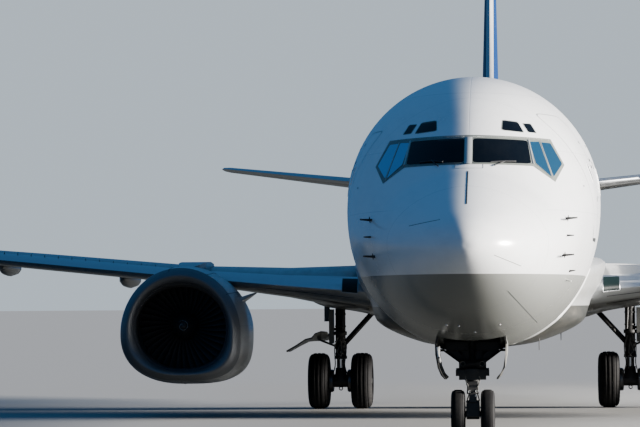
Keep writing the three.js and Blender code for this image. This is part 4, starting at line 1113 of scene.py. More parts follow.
def makeCockpit():
    for name, corners in cockpit["panes"].items():
        look = "glass" if name == "windshield" else "sideGlass"
        part = gridPart(noseSheet(corners, cockpit["paneOut"]))
        addPair(f"{name}_glass", part, look, stands=(f"{name}_SIDE",), facing=(0, -1, 0))
    addPiece("cockpit_frame", framePlatePart(), "frameMetal", facing=(0, -1, 0))
    borders = [noseBorder(corners, **cockpit["trim"]) for corners in cockpit["panes"].values()]
    addPair("cockpit_trim", joined(borders), "frameMetal")
    posts = [noseLine(np.linspace(start, end, 14), radius, 10, cockpit["postOut"])
             for start, end, radius in cockpit["posts"]]
    addPair("cockpit_side_posts", joined(posts), "frameTrim")
    addPiece("cockpit_post", postPart(), "frameTrim", facing=(0, -1, 0))
    row = cockpit["fasteners"]
    x = row["first"] + row["step"] * np.arange(row["count"])
    bolts = noseDomes(x, np.full_like(x, row["up"]), row["radius"], row["rise"])
    addPair("frame_fasteners", bolts, "frameTrim")
    out = cockpit["browOut"]
    brows = joined([gridPart(noseSheet(corners, out, rows=8, cols=10)) for corners in cockpit["eyebrows"]])
    addPair("eyebrow_glass", brows, "glass", facing=(0, -1, 0.5))
    rims = joined([noseBorder(corners, **cockpit["browTrim"]) for corners in cockpit["eyebrows"]])
    addPair("eyebrow_rims", rims, "frameMetal")


makeCockpit()
print("cockpit glass done")

# Cabin windows, doors and hatches on the side of the body
cabin = {
    "windows": {"first": 5.72, "step": 0.508, "count": 37, "height": 3.66, "half": (0.115, 0.175)},
    # how square each outline is: 2 is an ellipse, more is nearer to a rectangle
    "squareness": {"window": 3.2, "door": 9, "mark": 6, "dot": 5, "port": 2},
    # the windows' rims: how far past the window's edge, and how far off the skin
    "rim": [[-0.002, 0.001], [0.002, 0.006], [0.022, 0.006], [0.026, -0.002]],
    "seamHalf": 0.0055,
    # how far the sheets stand off the skin
    "out": 0.003,
    "doorOut": 0.0025,
    "dotOut": 0.004,
    # station, height, half length, half height
    "doorsLeft": [[4.36, 3.64, 0.5, 0.9], [24.55, 3.5, 0.38, 0.83], [14.95, 3.76, 0.26, 0.5]],
    "doorsRight": [[4.45, 3.5, 0.38, 0.83], [24.55, 3.5, 0.38, 0.83], [14.95, 3.76, 0.26, 0.5],
                   [8.4, 2.05, 0.61, 0.44], [21.4, 2.12, 0.61, 0.41]],
    "doorWindows": [[4.45, 3.72, 0.08, 0.12], [24.55, 3.7, 0.08, 0.12]],
    "handles": [[4.7, 3.35, 0.09, 0.03], [24.78, 3.3, 0.09, 0.03]],
    # small marks: vents, two dark ones, the left door's dark sill and front edge, and a round port
    "marks": [[4.83, 4.17, 0.05, 0.02], [5.5, 4.15, 0.05, 0.016], [5.1, 3.4, 0.05, 0.02],
              [3.5, 3.5, 0.04, 0.012]],
    "dots": [[5.1, 3.93, 0.06, 0.022], [5.0, 3.83, 0.05, 0.022]],
    "doorEdge": [[4.36, 2.765, 0.46, 0.026], [3.862, 2.86, 0.008, 0.1]],
    "port": [[5.38, 3.865, 0.09, 0.06]],
    # the port's ring, inwards from its edge, and the rings of the spot in its middle, as shares
    "portRing": 0.024,
    "portSpot": (0.02, 0.2, 0.34),
}


# Rounded rectangles |a|^n + |b|^n = 1 by the angle seen from the middle, wrapped on the body's side. Each row
# is a middle and two half sizes, and each scale a share of them and a distance added to them.
def sideLoops(rows, scales, outs, square, around=28):
    turn = circle(around)
    reach = (np.abs(np.cos(turn)) ** square + np.abs(np.sin(turn)) ** square) ** (-1 / square)
    a, b = reach * np.cos(turn), reach * np.sin(turn)
    rows = np.asarray(rows, float)[:, None, None, :]
    scales = np.asarray(scales, float)[None, :, None, :]
    station = rows[..., 0] + a * (rows[..., 2] * scales[..., 0] + scales[..., 1])
    height = rows[..., 1] + b * (rows[..., 3] * scales[..., 0] + scales[..., 1])
    out = np.asarray(outs, float)[None, :, None]
    x = bodyReach(station, height) + out
    return np.stack([x, stationY(station), height], -1)


# Filled outlines on the body's side, as rings that shrink to the middle
def sideSheet(rows, kind, out, shares=(0.04, 0.4, 0.75, 1)):
    loops = sideLoops(rows, [[share, 0] for share in shares], [out] * len(shares), cabin["squareness"][kind])
    return gridPart(loops, wrapCols=True, capStart=True)


def makeCabin():
    look, out, squareness = cabin["windows"], cabin["out"], cabin["squareness"]
    stations = look["first"] + look["step"] * np.arange(look["count"])
    rows = [[station, look["height"], *look["half"]] for station in stations] + cabin["doorWindows"]
    panes = sideSheet(rows, "window", out)
    addPair("cabin_panes", panes, "cabinGlass", facing=(1, 0, 0))
    scales, outs = [[1, past] for past, _ in cabin["rim"]], [off for _, off in cabin["rim"]]
    ring = sideLoops(rows, scales, outs, squareness["window"])
    addPair("cabin_rims", gridPart(ring, wrapCols=True), "body", facing=(1, 0, 0))
    half = cabin["seamHalf"]
    for side, sign in sides():
        doors = cabin["doorsLeft"] if sign > 0 else cabin["doorsRight"]
        loops = sideLoops(doors, [[1, -half], [1, half]], [cabin["doorOut"]] * 2, squareness["door"], 120)
        ring = sideLoops(cabin["port"], [[1, -cabin["portRing"]], [1, 0]], [out] * 2, squareness["port"])
        part = joined([gridPart(loops, wrapCols=True), sideSheet(cabin["handles"], "mark", out),
                       sideSheet(cabin["marks"], "mark", out), gridPart(ring, wrapCols=True),
                       sideSheet(cabin["port"], "port", out, cabin["portSpot"])])
        addPiece(f"door_seams_{side}", sidePart(part, sign), "softSeam", facing=(sign, 0, 0))
        spots = cabin["dots"] + (cabin["doorEdge"] if sign > 0 else [])
        marks = sidePart(sideSheet(spots, "dot", cabin["dotOut"]), sign)
        addPiece(f"side_marks_{side}", marks, "seam", facing=(sign, 0, 0))


makeCabin()
print("cabin windows and doors done")

# Small fittings on the nose: pitot tubes, vanes, wipers, the centre strip and hatch outlines
noseFittings = {
    "pitots": [(1.297, 3.01), (1.245, 2.515)],
    # a pitot's mast, the tube that looks ahead from its tip, and the blade across its root
    "pitot": {"out": (1.0, -0.35, 0.05), "mast": 0.15, "thick": (0.02, 0.011), "aft": 0.07, "ahead": 0.2,
              "tube": [0.004, 0.012, 0.013, 0.013, 0.012, 0.011, 0.009, 0.006],
              "blade": [0.004, 0.008, 0.009, 0.008, 0.004], "below": 0.04, "above": 0.045},
    # place across and up, way, length, radius at the root and at the tip
    "vane": [(1.305, 2.78), (0.95, -0.3, 0), 0.1, (0.016, 0.007)],
    "leftVane": [(1.336, 2.311), (0.95, -0.3, 0.1), 0.09, (0.018, 0.006)],
    "drain": [(1.3, 2.19), (0.9, -0.4, -0.2), 0.07, (0.014, 0.009)],
    "strip": {"low": 3.169, "high": 3.642, "half": 0.009, "rise": 0.008},
    # middle across and up, and half sizes, of the hatch below the windshield's post
    "hatch": (0.012, 3.73, 0.187, 0.045),
    "joints": [[(-0.751, 2.894), (-0.338, 2.965)], [(0.353, 2.5), (0.695, 2.362)],
               [(0.523, 2.042), (0.903, 1.62)]],
    "wipers": [[(0.35, 3.722), (0.4, 3.745), (0.5, 3.79)], [(0.3, 3.774), (0.46, 3.786), (0.64, 3.79)],
               [(-0.4, 3.722), (-0.43, 3.75), (-0.5, 3.81)], [(-0.66, 3.79), (-0.5, 3.8), (-0.34, 3.782)]],
    "wiper": {"out": 0.034, "radius": 0.007},
    "studs": [(-0.306, 1.599), (-0.139, 1.585), (0.405, 1.6), (0.07, 1.5)],
    "stud": {"radius": 0.016, "rise": 0.02},
}


# A pitot: a tapered mast, a tube from its tip that looks ahead, and a short blade up and down at its root.
def pitotParts(place):
    look = noseFittings["pitot"]
    out = np.array(look["out"])
    out /= np.linalg.norm(out)
    mast = onNose(*np.array(place), -0.01) + np.outer(np.linspace(0, look["mast"], 6), out)
    tube = mast[-1] + np.outer(np.linspace(-look["aft"], look["ahead"], len(look["tube"])), [0, -1.0, 0])
    blade = mast[1] + np.outer(np.linspace(-look["below"], look["above"], len(look["blade"])), [0.1, 0, 1.0])
    return [tubePart(mast, np.linspace(*look["thick"], 6), 10), tubePart(tube, look["tube"], 12),
            tubePart(blade, look["blade"], 8)]


# A raised strip up the nose's middle: a low rounded section along a line of heights.
def noseStrip():
    strip = noseFittings["strip"]
    z = np.linspace(strip["low"], strip["high"], 24)
    across = np.array([-1, -1, -0.5, 0.5, 1, 1]) * strip["half"]
    rise = np.array([-0.2, 0.6, 1, 1, 0.6, -0.2]) * strip["rise"]
    grid = onNose(across[None, :] + 0 * z[:, None], z[:, None] + 0 * across, rise[None, :])
    return cappedPart(grid)


def makeNoseFittings():
    look = noseFittings
    parts = [part for place in look["pitots"] for part in pitotParts(place)]
    addPair("air_probes", joined([*parts, nosePin(*look["vane"])]), "black")
    addPiece("angle_vane", nosePin(*look["leftVane"]), "black")
    addPiece("drain_left", nosePin(*look["drain"], ahead=0.0), "white")
    x, z = np.array(look["studs"]).T
    addPiece("nose_studs", noseDomes(x, z, **look["stud"]), "chrome")
    addPiece("nose_strip", noseStrip(), "seam")
    lines = [noseLine(np.linspace(start, end, 20), 0.0035, 6) for start, end in look["joints"]]
    x, z, halfX, halfZ = look["hatch"]
    corners = [(x - halfX, z - halfZ), (x - halfX, z + halfZ), (x + halfX, z + halfZ), (x + halfX, z - halfZ)]
    for start, end in zip(corners, corners[1:] + corners[:1]):
        lines.append(noseLine(np.linspace(start, end, 14), 0.003, 6))
    addPiece("nose_seams", joined(lines), "seam")
    wiper = look["wiper"]
    arms = [noseLine(softPath(points, 14), wiper["radius"], 8, wiper["out"]) for points in look["wipers"]]
    addPiece("wipers", joined(arms), "black")


makeNoseFittings()

# Blade aerials, beacons and drain masts along the body
aerials = {
    # station, height above or below the body, chord, thickness
    "top": [[7.4, 0.06, 0.35, 0.05], [12.6, 0.3, 0.32, 0.03]],
    "belly": [[12.4, 0.18, 0.14, 0.02], [10.9, 0.22, 0.22, 0.03], [21.9, 0.24, 0.3, 0.03]],
    # the skin's height on top, and the least height that a belly aerial hangs from
    "crown": 5.228,
    "keel": 1.17,
    # drain masts: x, y, z of the root, height, chord, thickness
    "masts": [(0.955, -6.5, 1.33, -0.2, 0.1, 0.018), (1.319, -5.26, 1.4, -0.13, 0.1, 0.018)],
    # beacons: station, height of the base, rise
    "beacons": {"top": [13.9, 5.225, 0.09], "belly": [14.6, 1.16, -0.09]},
    "beaconRadius": 0.09,
}


# A fin-shaped blade: its section is a lens in plan, shrinking and leaning aft with height.
def bladePart(x, y, base, rise, chord, thick, sink=0.04):
    turn = circle(20)
    level = np.array([-sink / abs(rise), 0, 0.35, 0.7, 0.93, 1.0])
    size = np.array([1.05, 1, 0.86, 0.72, 0.6, 0.42])[:, None]
    lean = 0.35 * chord * np.clip(level, 0, 1)[:, None]
    px = x + 0.5 * thick * np.sin(turn) * size
    py = y + 0.5 * chord * np.cos(turn) * size + lean
    pz = base + rise * level[:, None] + 0 * px
    return cappedPart(np.stack([px, py, pz], -1))


# A low dome: radius falls with the cosine of the rise.
def domePart(x, y, z, radius, rise):
    turn = circle(24)
    up = np.linspace(0, np.pi / 2 * 0.98, 8)[:, None]
    px = x + radius * np.cos(up) * np.sin(turn)
    py = y + radius * np.cos(up) * np.cos(turn)
    pz = z + rise * np.sin(up) + 0 * px
    return cappedPart(np.stack([px, py, pz], -1))


def makeAerials():
    parts = []
    for station, rise, chord, thick in aerials["top"]:
        parts.append(bladePart(0, stationY(station), aerials["crown"], rise, chord, thick))
    for station, rise, chord, thick in aerials["belly"]:
        low = max(aerials["keel"], float(bodySection(np.array(station))[1]))
        parts.append(bladePart(0, stationY(station), low, -rise, chord, thick, sink=0.08))
    addPiece("aerials", joined(parts), "body")
    masts = joined([bladePart(*row) for row in aerials["masts"]])
    addPiece("drain_masts", masts, "black")
    for name, (station, z, rise) in aerials["beacons"].items():
        dome = domePart(0, stationY(station), z, aerials["beaconRadius"], rise)
        addPiece(f"beacon_{name}", dome, "redLamp")


makeAerials()
print("fittings on the body done")

# Engines: intake lip, cowl and fan
engine = {
    "x": 4.945,
    "z": 1.545,
    "lip": 11.1,
    "around": 112,
    # distance aft of the lip, half width, height above the axis, depth below it, squareness below,
    # and how far the widest line lies below the axis
    "outside": [[0.07, 0.938, 0.907, 0.846, 2.26, 0.115], [0.19, 0.994, 0.963, 0.901, 2.28, 0.127],
                [0.5, 1.041, 0.977, 0.948, 2.3, 0.127], [1.0, 1.074, 1.001, 0.97, 2.3, 0.127],
                [1.55, 1.075, 0.972, 0.96, 2.3, 0.12], [2.0, 1.05, 0.89, 0.916, 2.26, 0.1],
                [2.6, 0.975, 0.7, 0.815, 2.2, 0.06], [3.05, 0.885, 0.6, 0.715, 2.15, 0]],
    "edge": [0, 0.87, 0.836, 0.797, 2.22, 0.09],
    "inside": [[0.07, 0.795, 0.742, 0.745, 2.16, 0.05], [0.19, 0.758, 0.7, 0.718, 2.12, 0.025],
               [0.7, 0.776, 0.776, 0.776, 2, 0], [1.6, 0.776, 0.776, 0.776, 2, 0],
               [2.2, 0.8, 0.69, 0.74, 2, 0], [3.05, 0.862, 0.577, 0.69, 2.15, 0]],
    # the intake's liner, in the same columns
    "liner": [[0.19, 0.755, 0.697, 0.715, 2.12, 0.025], [0.3, 0.742, 0.655, 0.7, 2.1, 0.015],
              [0.42, 0.742, 0.645, 0.698, 2.06, 0.008], [0.6, 0.755, 0.7, 0.725, 2.03, 0],
              [0.8, 0.768, 0.764, 0.768, 2.0, 0]],
    "fuller": 4.5,
    # where the lip, the liner, the duct's skin and the cowl end, and how thick the linings are
    "lipEnd": 0.19,
    "linerEnd": 0.8,
    "ductEnd": 3.0,
    "cowlEnd": 3.05,
    "lining": 0.004,
    # across and aft in the strake's own plane, with its thickness at the root and at the tip
    "strake": {"root": 4.05, "height": 1.962, "tilt": math.radians(30), "thick": (0.1, 0.022),
               "across": (0.07, -0.264),
               "plan": [[0.07, 11.7], [0.07, 12.9], [-0.264, 12.9], [-0.205, 12.45]]},
    # angle from the top, from and to as distances aft of the lip
    "seams": [(0.188, 0.08, 1.55), (-0.464, 0.2, 1.55), (-0.92, 0.12, 1.55), (math.pi, 0.2, 2.9)],
    "seamRadius": 0.0045,
}


# Rings of the casing, or their points at one angle from the top, positive outboard: half an ellipse above
# the widest line and a fuller curve below it, fullest inboard.
def casingRings(rows, angle=None):
    rows = np.asarray(rows, float)[..., None, :]
    angle = circle(engine["around"]) if angle is None else np.array([angle])
    across, up = np.sin(angle), np.cos(angle)
    lower = np.where(across < 0, 2 + (rows[..., 4] - 2) * engine["fuller"], rows[..., 4])
    power = np.where(up < 0, 2 / lower, 1)
    reach = np.where(up > 0, rows[..., 2] + rows[..., 5], rows[..., 3] - rows[..., 5])
    x = engine["x"] + signedPower(across, power) * rows[..., 1]
    z = engine["z"] - rows[..., 5] + signedPower(up, power) * reach
    return np.stack([x, stationY(rows[..., 0] + engine["lip"]) + 0 * x, z], -1)


# Rows of one of the casing's tables at distances aft of the lip
def casingRows(name, start, stop, count):
    aft = np.linspace(start, stop, count)
    return np.column_stack([aft, between(np.array(engine[name]), aft)])


# A closed shell through a loop of rows: out along one face and back along the other.
def casingShell(face, back):
    return loopPart(casingRings(np.concatenate([face, back])))


# The lip runs from the throat round the front edge to the cowl, as one smooth path through its rows, and
# is closed behind by a thinner ring.
def lipPart():
    outside, inside = engine["outside"], engine["inside"]
    rows = np.array([inside[1], inside[0], engine["edge"], outside[0], outside[1]])
    rows[2, 0] = -0.002
    curve = softPath(rows, 34)
    curve[:, 0] = np.clip(curve[:, 0], 0.0, None)
    behind = curve[[-1, 0]] + [[0, -0.03, -0.03, -0.03, 0, 0], [0, 0.03, 0.03, 0.03, 0, 0]]
    return casingShell(curve, behind)


# A thin lining of the duct: its face stands inwards of its back by the lining's thickness or more.
def liningPart(face, back, inwards, outwards):
    face[:, 1:4] -= inwards
    back[:, 1:4] += outwards
    return casingShell(face, back[::-1])


def makeCasing():
    lipEnd, linerEnd, ductEnd = engine["lipEnd"], engine["linerEnd"], engine["ductEnd"]
    lining = engine["lining"]
    addPair("lip_shell", lipPart(), "lipMetalShaded", stands=("inlet_lip_SIDE",), sharp=50)
    outer, inner = (casingRows(face, lipEnd + 0.006, engine["cowlEnd"], 56) for face in ("outside", "inside"))
    addPair("cowl_shell", joined([casingShell(outer, inner[::-1]), strakePart()]), "cowl",
            stands=("engine_cowl_SIDE",), sharp=30)
    face, back = (casingRows(face, lipEnd + 0.005, linerEnd, 26) for face in ("liner", "inside"))
    addPair("duct_liner", liningPart(face, back, 0, lining), "liner")
    face, back = (casingRows("inside", linerEnd, ductEnd, 30) for _ in range(2))
    addPair("duct_skin", liningPart(face, back, lining, 0), "duct")
    seams = []
    for angle, start, stop in engine["seams"]:
        line = casingRings(casingRows("outside", start, stop, 20), angle)[:, 0]
        seams.append(tubePart(line, engine["seamRadius"], 6))
    addPair("cowl_seams", joined(seams), "seam")


# The strake: a swept plate on the inboard side, tilted about Y, thick at its root and thin at its tip.
def strakePart():
    look = engine["strake"]
    outline = np.array(look["plan"])
    edges = zip(outline, np.roll(outline, -1, axis=0))
    corners = np.concatenate([np.linspace(start, end, 8, endpoint=False) for start, end in edges])
    middle = corners.mean(axis=0)
    rings = []
    for share, level in ((0.97, -1), (1, -0.4), (1, 0.4), (0.97, 1)):
        flat = middle + share * (corners - middle)
        thick = np.interp(flat[:, 0], look["across"][::-1], look["thick"][::-1])
        rings.append(np.column_stack([flat, level * thick / 2]))
    points = np.stack(rings)
    turn = look["tilt"]
    x = points[..., 0] * math.cos(turn) + points[..., 2] * math.sin(turn)
    z = points[..., 2] * math.cos(turn) - points[..., 0] * math.sin(turn)
    placed = np.stack([look["root"] + x, stationY(points[..., 1]), look["height"] + z], -1)
    return cappedPart(placed)


# The fan. Its blades' lean in degrees, chord and thickness each have a root value and a change to the tip.
fan = {
    "station": 12.0,
    "blades": 38,
    "root": 0.225,
    "tip": 0.758,
    "lean": (28, 34),
    "chord": (0.15, 0.02),
    "thick": (0.014, -0.009),
    "camber": 0.012,
    "twist": 0.06,
    # distance ahead of the fan's middle and radius: a cone that rounds into the hub
    "spinner": [[0.415, 0.004], [0.4, 0.03], [0.355, 0.085], [0.235, 0.17], [0.085, 0.232], [-0.02, 0.246],
                [-0.06, 0.246]],
    # the painted swirl: turns, half width as an angle, how far ahead it starts and how far aft it runs
    "swirl": {"turns": 1.1, "half": 0.3, "from": 0.4, "run": 0.055, "out": 0.003, "ahead": 0.002},
}


# Blades: a thin cambered section turned from the root's angle to the tip's along the radius.
def fanPart():
    blades = fan["blades"]
    k = np.arange(blades)[:, None, None]
    share = np.linspace(0, 1, 9)[None, :, None]
    turn = circle(14)[None, None, :]
    radius = fan["root"] + share * (fan["tip"] - fan["root"])
    lean = np.radians(fan["lean"][0] + fan["lean"][1] * share**0.8)
    chord, thick = (fan[size][0] + fan[size][1] * share for size in ("chord", "thick"))
    along = -np.cos(turn) * chord / 2
    across = np.sin(turn) * thick / 2 + fan["camber"] * (1 - (2 * along / chord) ** 2)
    side = along * np.sin(lean) + across * np.cos(lean)
    aft = along * np.cos(lean) - across * np.sin(lean)
    angle = 2 * np.pi * k / blades + side / radius + fan["twist"] * share
    x = engine["x"] + radius * np.sin(angle)
    y = stationY(fan["station"]) + aft
    z = engine["z"] + radius * np.cos(angle)
    return cappedPart(np.stack([x, y + 0 * x, z], -1))


# A strip laid on the spinner whose angle grows as it goes out.
def swirlPart():
    look = fan["swirl"]
    t = np.linspace(0, 1, 60)[:, None]
    w = np.linspace(-1, 1, 5)[None, :]
    ahead = look["from"] - look["run"] * t
    angle = 2 * np.pi * look["turns"] * t + w * look["half"]
    cone = np.array(fan["spinner"][4::-1])
    radius = between(cone, ahead + 0 * w)[..., 0] + look["out"]
    x = engine["x"] + radius * np.sin(angle)
    z = engine["z"] + radius * np.cos(angle)
    y = stationY(fan["station"]) - ahead - look["ahead"] + 0 * w
    return gridPart(np.stack([x, y, z], -1))


def makeEngines():
    makeCasing()
    addPair("fan_blades", fanPart(), "blade", body="fan_SIDE", stands=("fan_SIDE",), sharp=60)
    cone = softPath(fan["spinner"], 30)
    spinner = turnedAhead(cone, engine["x"], stationY(fan["station"]), engine["z"], 56)
    addPair("spinner", spinner, "spinner", body="fan_SIDE")
    addPair("spinner_swirl", swirlPart(), "swirl", body="fan_SIDE", facing=(0, -1, 0))
    for side, _ in sides():
        smoothCopy(f"engine_core_{side}", "darkMetal", 30)
        swell(smoothCopy(f"pylon_{side}", "cowl", 25), 0.006)


makeEngines()
print("engines done")

# Wings and tail: softly shaded copies of the CAD surfaces. The number is the angle of a sharp edge.
for side, _ in sides():
    for name in ("wing", "flap_inner", "flap_outer", "aileron"):
        smoothCopy(f"{name}_{side}", "wing", 28)
    for name in ("tailplane", "elevator"):
        smoothCopy(f"{name}_{side}", "tail", 28)
for name in ("fin", "rudder"):
    smoothCopy(name, "fin", 28)
print("wings and tail done")

wing = {
    "camber": 0.016,
    "camberAt": 0.4,
    "slope": math.tan(math.radians(5.65)),
    "rootX": 1.88,
    "rootZ": 2.055,
    # span, leading edge station, trailing edge station, thickness ratio, twist in degrees
    "sections": np.array([
        [1.2, 10.83, 17.78, 0.128, 1.3], [1.88, 11.33, 17.74, 0.127, 1.2],
        [3.3, 12.365, 17.56, 0.098, 0.5], [4.95, 13.589, 17.346, 0.088, 0.1],
        [8.0, 15.215, 18.156, 0.1, 0.3], [11.2, 16.921, 19.007, 0.1, -0.4],
        [13.7, 18.253, 19.671, 0.106, -1.4], [14.15, 18.6, 19.79, 0.1, -1.4],
        [14.35, 18.84, 19.82, 0.082, -1.4], [14.44, 19.12, 19.8, 0.045, -1.4],
    ]),
    # span from, to, and how far round the leading edge, below and above: roots of the chord share
    "rootLight": [2.025, 2.29, -0.022, 0.172],
    "rootLightBorder": [-0.012, 0.012, -0.012, 0.006],
    "tipLight": [13.86, 14.24, -0.2, 0.2],
    # how far the light's border, its glass and the tip's lens stand off the skin
    "out": {"border": 0.006, "glass": 0.011, "lens": 0.008},
    "vanes": {"first": 5.73, "step": 0.266, "count": 12, "share": 0.09},
    "vane": {"rise": 0.035, "chord": 0.07, "thick": 0.008, "sink": 0.012},
    # static wicks: the body they ride on and their spans
    "wicks": {"static_wicks": ("airframe", [13.7, 13.95, 14.2]),
              "aileron_wicks": ("aileron_SIDE", [12.7, 13.3])},
    "wick": {"ahead": 0.05, "aft": 0.13, "radius": 0.004},
    # joints behind the root light: span from, to, and how far below the leading edge
    "seams": [[2.08, 4.3, -0.11], [2.08, 4.3, -0.26]],
    "seamRadius": 0.0045,
}


# A point of the wing. way runs round the section: its square is the share of the chord, its sign the face.
# The half thickness is the usual five-term foil curve, and the camber two joined parabolas.
def wingPoint(span, way, out=0.0):
    lead, trail, ratio, twist = np.moveaxis(between(wing["sections"], span), -1, 0)
    share, chord = way**2, trail - lead
    foil = 0.2969 * np.abs(way) - 0.126 * share - 0.3516 * share**2 + 0.2843 * share**3 - 0.1036 * share**4
    p = wing["camberAt"]
    ahead = (2 * p * share - share**2) / p**2
    behind = (1 - 2 * p + 2 * p * share - share**2) / (1 - p) ** 2
    camber = wing["camber"] * np.where(share < p, ahead, behind) * chord
    half = 5 * foil * ratio * chord + 0.0025 * chord * share + out * np.minimum(1, np.abs(way) / 0.05)
    aft, up = (share - 0.25) * chord - out * (1 - share), camber + np.sign(way) * half
    turn = np.radians(twist)
    y = stationY(lead + 0.25 * chord + aft * np.cos(turn) + up * np.sin(turn))
    z = wing["rootZ"] + (span - wing["rootX"]) * wing["slope"] - aft * np.sin(turn) + up * np.cos(turn)
    return np.stack([span + 0 * y, y, z], -1)


# A sheet wrapped round the leading edge, with its rim sunk into the skin
def wingPatch(look, out, sink=0.004, rows=16, cols=12):
    start, end, low, high = look
    span = start + (end - start) * withRim(cols)[None, :]
    way = low + (high - low) * withRim(rows)[:, None]
    return gridPart(wingPoint(span + 0 * way, way + 0 * span, rimLift(rows + 2, cols + 2, out, sink)))


def makeWingFittings():
    out = wing["out"]
    border = wingPatch(np.add(wing["rootLight"], wing["rootLightBorder"]), out["border"])
    addPair("landing_light_frame", border, "wing", facing=(0, -1, 0))
    glass = wingPatch(wing["rootLight"], out["glass"])
    addPair("landing_light_glass", glass, "lampGlass", facing=(0, -1, 0))
    for side, sign in sides():
        lens = sidePart(wingPatch(wing["tipLight"], out["lens"]), sign)
        lamp = "redLamp" if sign > 0 else "greenLamp"
        addPiece(f"tip_light_{side}", lens, lamp, facing=(0, -1, 0))
    look = wing["vanes"]
    plates = []
    for span in look["first"] + look["step"] * np.arange(look["count"]):
        x, y, z = wingPoint(np.array(span), np.array(math.sqrt(look["share"])))
        plates.append(bladePart(x, y, z, **wing["vane"]))
    addPair("vortex_vanes", joined(plates), "black")
    wick = wing["wick"]
    for name, (rides, spans) in wing["wicks"].items():
        wicks = []
        for span in spans:
            tail = wingPoint(np.array(span), np.array(0.995))
            path = tail + np.outer(np.linspace(-wick["ahead"], wick["aft"], 5), [0.1, 1, 0])
            wicks.append(tubePart(path, wick["radius"], 6))
        addPair(name, joined(wicks), "black", body=rides)
    lines = []
    for start, end, way in wing["seams"]:
        span = np.linspace(start, end, 24)
        lines.append(tubePart(wingPoint(span, np.full_like(span, way)), wing["seamRadius"], 6))
    addPair("wing_root_seams", joined(lines), "seam")


# The swelling under the wing root, before and behind the leg's slot: a flat-bottomed section across and up,
# stations from its far end to the slot, how far that end is sunk, and the height that all of it stays below
rootFillet = {
    "section": [(1.55, 1.59), (1.8, 1.625), (2.09, 1.715), (2.56, 1.8), (2.81, 1.835), (3.0, 1.9),
                (3.1, 1.98), (3.12, 2.1), (2.2, 2.15), (1.55, 2.1), (1.5, 1.85)],
    "front": [13.4, 16.24],
    "back": [18.3, 16.7],
    "sunk": 0.34,
    "sinksBelow": 2,
    "top": 2.12,
    "sharp": 40,
}


# The section's lower points come out of the wing as one minus the root of a quarter sine wave.
def filletPart(far, near):
    section = rootFillet["section"]
    loop = softPath(section + section[:1], 57)[:-1]
    t = np.linspace(0, 1, 26)[:, None]
    rise = rootFillet["sunk"] * (1 - np.sqrt(np.sin(t * np.pi / 2)))
    z = np.minimum(loop[:, 1] + rise * (loop[:, 1] < rootFillet["sinksBelow"]), rootFillet["top"])
    points = np.stack([loop[:, 0] + 0 * t, stationY(far + (near - far) * t) + 0 * z, z], -1)
    return cappedPart(points)


# The fillets' dark grey is painted shade under the wing root.
def makeFillets():
    for name in ("front", "back"):
        addPair(f"root_fillet_{name}", filletPart(*rootFillet[name]), "underside",
                sharp=rootFillet["sharp"])


makeWingFittings()
makeFillets()
print("wing fittings done")

# The tail pipe at the body's end, a short ring round a shallow hollow: station and radius
tailPipe = {
    "z": 4.6,
    "tall": 1.12,
    "rows": [[32.1, 0.2], [32.24, 0.17], [32.26, 0.16], [32.24, 0.145], [32.12, 0.13], [32.12, 0.01]],
}


def makeTailPipe():
    rows = np.array(tailPipe["rows"]) * [-1, 1]
    part = turnedAhead(rows, 0, stationY(0), tailPipe["z"], 40, tailPipe["tall"])
    addPiece("tail_pipe", part, "darkMetal")


makeTailPipe()

# Landing gear: tyres with grooves, turned rims with bolts, and the CAD legs
gear = {
    "nose": {"x": 0, "y": -12.69, "z": 0.34, "radius": 0.34, "width": 0.197, "rim": 0.195, "spacing": 0.415,
             "grooves": 3},
    "main": {"x": 2.615, "y": -0.24, "z": 0.505, "radius": 0.505, "width": 0.385, "rim": 0.262,
             "spacing": 0.775, "grooves": 4},
}
tyre = {
    # powers of the rounded box, across and up
    "across": 0.62,
    "up": 0.5,
    # where the outer grooves lie and how wide half a groove is, as shares of the half width, and the depth
    "grooves": 0.62,
    "grooveHalf": 0.035,
    "grooveDepth": 0.009,
    # the bead: shares of the half width and of the rim
    "bead": (0.8, 0.985),
}
wheel = {
    # from the outer flange over the hub to the inner flange, as shares of the half width and of the rim
    "rows": [[0.84, 1.0], [0.86, 0.97], [0.5, 0.9], [0.32, 0.78], [0.42, 0.62], [0.62, 0.5], [0.74, 0.34],
             [0.92, 0.3], [0.95, 0.1], [0.95, 0.0], [-0.6, 0.0], [-0.6, 0.3], [-0.5, 0.9], [-0.84, 0.97],
             [-0.84, 1.0]],
    "bolts": {"count": 10, "circle": 0.55, "radius": 0.05, "along": (0.5, 0.62, 0.66)},
}


# A tyre's section, from one bead over the tread to the other: a rounded box of height radius - rim, with
# grooves cut as narrow steps into the tread.
def tyrePart(look, x):
    half = look["width"] / 2
    rise = look["radius"] - look["rim"]
    t = np.linspace(0, np.pi, 60)
    along = half * signedPower(-np.cos(t), tyre["across"])
    radius = look["rim"] + rise * np.sin(t) ** tyre["up"]
    profile = np.column_stack([along, np.minimum(radius, look["radius"])])
    steps = np.linspace(-tyre["grooves"], tyre["grooves"], look["grooves"])
    near = np.min(np.abs(profile[:, :1] / half - steps[None, :]), axis=1)
    profile[:, 1] -= np.where(near < tyre["grooveHalf"], tyre["grooveDepth"], 0)
    beadHalf, bead = tyre["bead"][0] * half, tyre["bead"][1] * look["rim"]
    bore = np.array([[beadHalf, bead], [-beadHalf, bead]])
    return turnedPart(np.concatenate([profile, bore]), (x, look["y"], look["z"]), 72)


